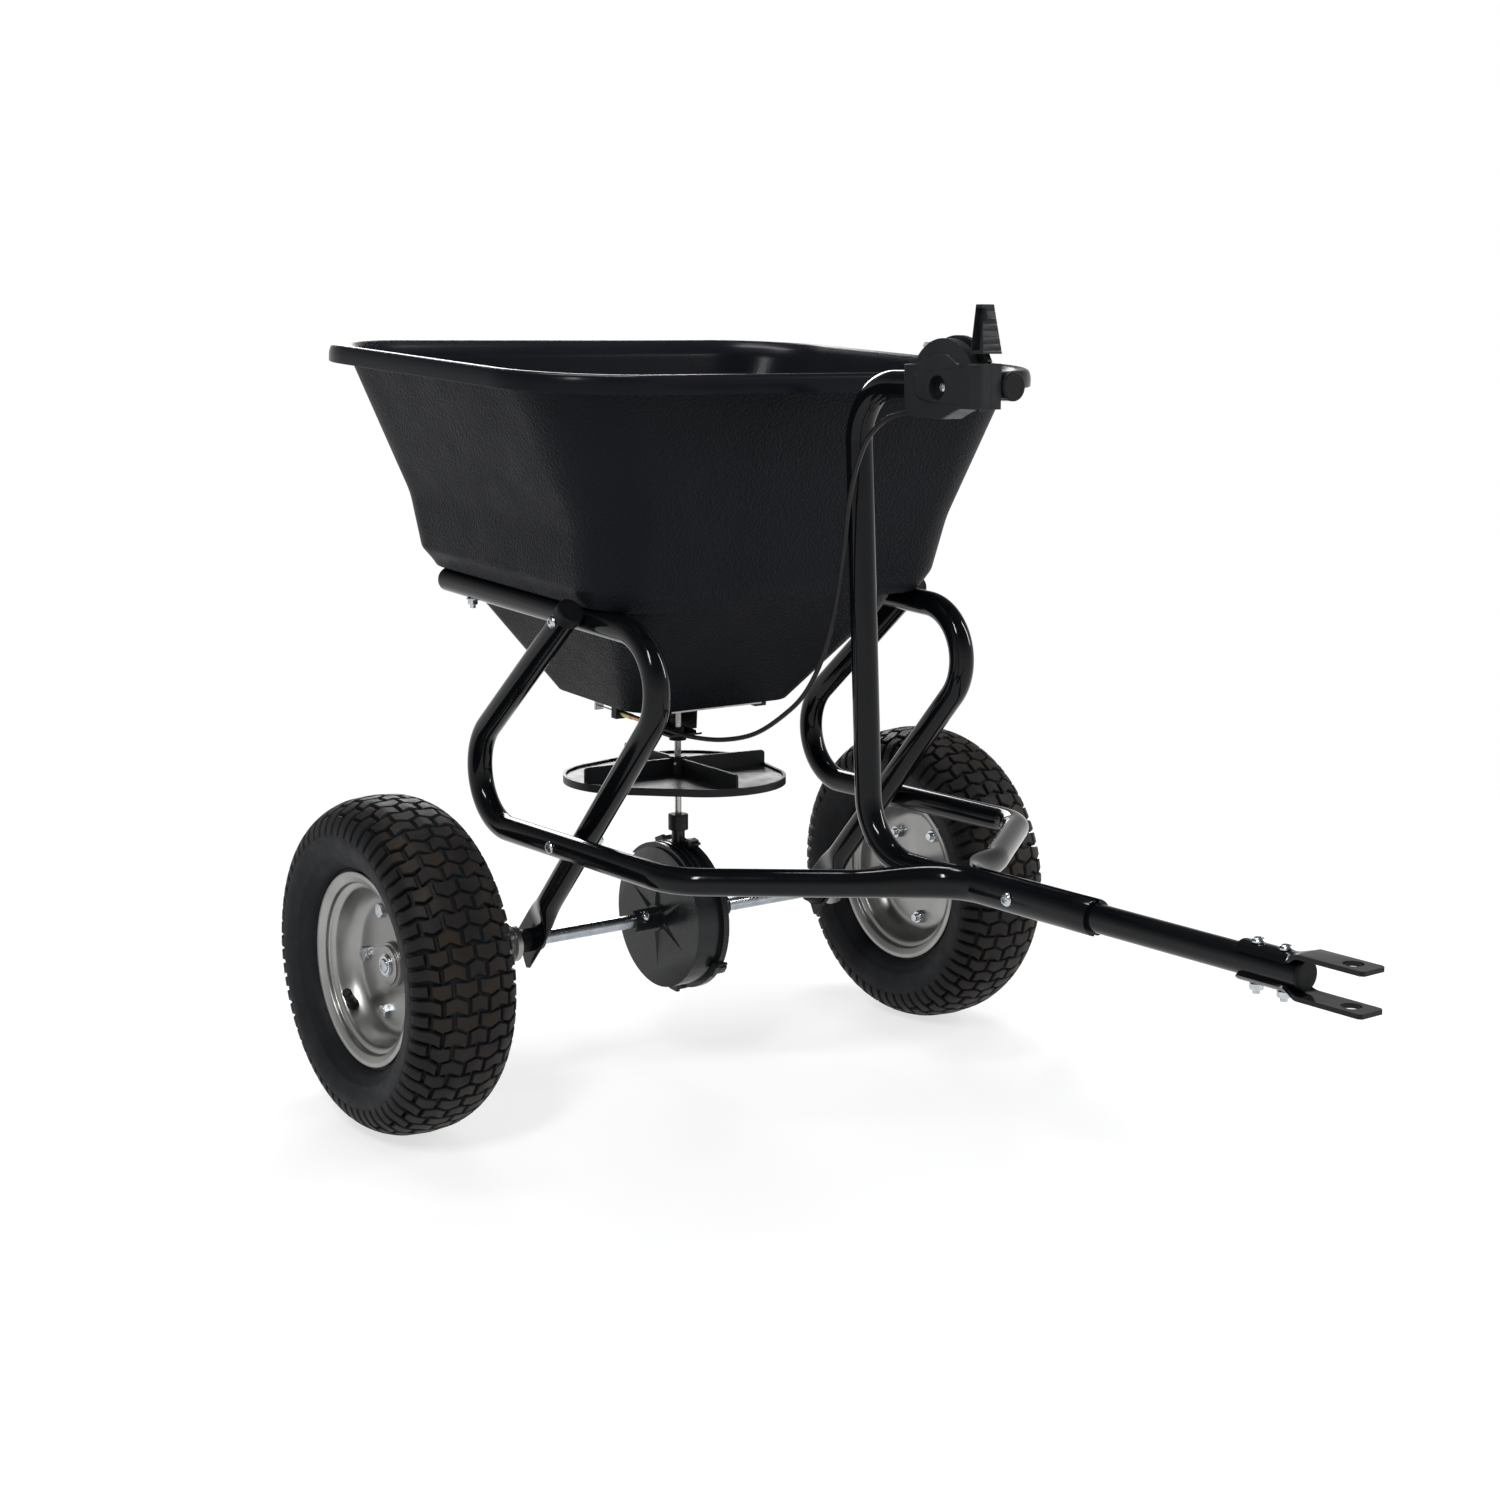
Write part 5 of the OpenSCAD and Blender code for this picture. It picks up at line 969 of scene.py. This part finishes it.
def aimCamera():
    a, e = math.radians(view["azimuth"]), math.radians(view["elevation"])
    back = Vector((math.sin(a) * math.cos(e), -math.cos(a) * math.cos(e), math.sin(e)))
    camera = bpy.data.objects.new("studioCamera", bpy.data.cameras.new("studioCamera"))
    camera.data.sensor_width = 36
    camera.data.lens = view["lens"]
    camera.data.clip_end = 100
    camera.rotation_mode = "QUATERNION"
    camera.rotation_quaternion = (-back).to_track_quat("-Z", "Y")
    x, y, z = view["place"]
    camera.location = (x / 1000, (y + axleY) / 1000, z / 1000)
    bpy.context.scene.collection.objects.link(camera)
    bpy.context.scene.camera = camera


# Soft box: a lamp of a given width and height that faces a point.
def softBox(name, place, target, width, height, watts):
    data = bpy.data.lights.new(name, "AREA")
    data.shape, data.size, data.size_y, data.energy = "RECTANGLE", width, height, watts
    lamp = bpy.data.objects.new(name, data)
    lamp.location = place
    lamp.rotation_mode = "QUATERNION"
    lamp.rotation_quaternion = (Vector(target) - Vector(place)).to_track_quat("-Z", "Y")
    bpy.context.scene.collection.objects.link(lamp)


# World: white behind everything, soft light on matt surfaces, and in shiny ones bright round the horizon
# and dimmer overhead.
def paleWorld():
    world = bpy.data.worlds.new("paleStudio")
    world.use_nodes = True
    n, link = world.node_tree.nodes, world.node_tree.links.new
    n.clear()
    path, place, split, band, either = newNodes(n, "LightPath", "TexCoord", "SeparateXYZ", "MapRange", "Math")
    soft, shown, seen = newNodes(n, "Background", "Background", "Background")
    glossy, direct, sink = newNodes(n, "MixShader", "MixShader", "OutputWorld")
    band.inputs["From Min"].default_value, band.inputs["From Max"].default_value = 0.02, 0.5
    band.inputs["To Min"].default_value = studio["horizon"]
    band.inputs["To Max"].default_value = studio["overhead"]
    link(place.outputs["Generated"], split.inputs["Vector"])
    link(split.outputs["Z"], band.inputs["Value"])
    soft.inputs["Color"].default_value = (0.97, 0.98, 1, 1)
    soft.inputs["Strength"].default_value = studio["soft"]
    shown.inputs["Color"].default_value = (1, 1, 1, 1)
    seen.inputs["Color"].default_value = (1, 1, 1, 1)
    link(band.outputs["Result"], seen.inputs["Strength"])
    either.operation, either.use_clamp = "ADD", True
    link(path.outputs["Is Glossy Ray"], either.inputs[0])
    link(path.outputs["Is Transmission Ray"], either.inputs[1])
    link(either.outputs["Value"], glossy.inputs["Fac"])
    link(soft.outputs["Background"], glossy.inputs[1])
    link(seen.outputs["Background"], glossy.inputs[2])
    link(path.outputs["Is Camera Ray"], direct.inputs["Fac"])
    link(glossy.outputs["Shader"], direct.inputs[1])
    link(shown.outputs["Background"], direct.inputs[2])
    link(direct.outputs["Shader"], sink.inputs["Surface"])
    bpy.context.scene.world = world


# Floor paint: pale and matt under the spreader, melting into the white backdrop further out.
def floorFinish():
    paint = bpy.data.materials.new("paleFloorPaint")
    paint.use_nodes = True
    n, link = paint.node_tree.nodes, paint.node_tree.links.new
    n.clear()
    place, length, fade = newNodes(n, "TexCoord", "VectorMath", "MapRange")
    matt, glow, both, sink = newNodes(n, "BsdfDiffuse", "Emission", "MixShader", "OutputMaterial")
    length.operation = "LENGTH"
    fade.interpolation_type = "SMOOTHSTEP"
    fade.inputs["From Min"].default_value = ground["clear"]
    fade.inputs["From Max"].default_value = ground["white"]
    fade.inputs["To Min"].default_value = ground["leastGlow"]
    matt.inputs["Color"].default_value = (0.93, 0.93, 0.93, 1)
    glow.inputs["Color"].default_value = (1, 1, 1, 1)
    link(place.outputs["Object"], length.inputs[0])
    link(length.outputs["Value"], fade.inputs["Value"])
    link(fade.outputs["Result"], both.inputs["Fac"])
    link(matt.outputs["BSDF"], both.inputs[1])
    link(glow.outputs["Emission"], both.inputs[2])
    link(both.outputs["Shader"], sink.inputs["Surface"])
    return paint


aimCamera()
for name, settings in lamps.items():
    softBox(name, *settings)
paleWorld()
floorMesh = bpy.data.meshes.new("paleFloor")
far = ground["reach"]
floorMesh.from_pydata([(-far, -far, 0), (far, -far, 0), (far, far, 0), (-far, far, 0)], [], [(0, 1, 2, 3)])
floorMesh.materials.append(floorFinish())
floor = bpy.data.objects.new("paleFloor", floorMesh)
bpy.context.scene.collection.objects.link(floor)
print("camera, lamps and floor ready")

bpy.context.scene.view_settings.view_transform = "Standard"
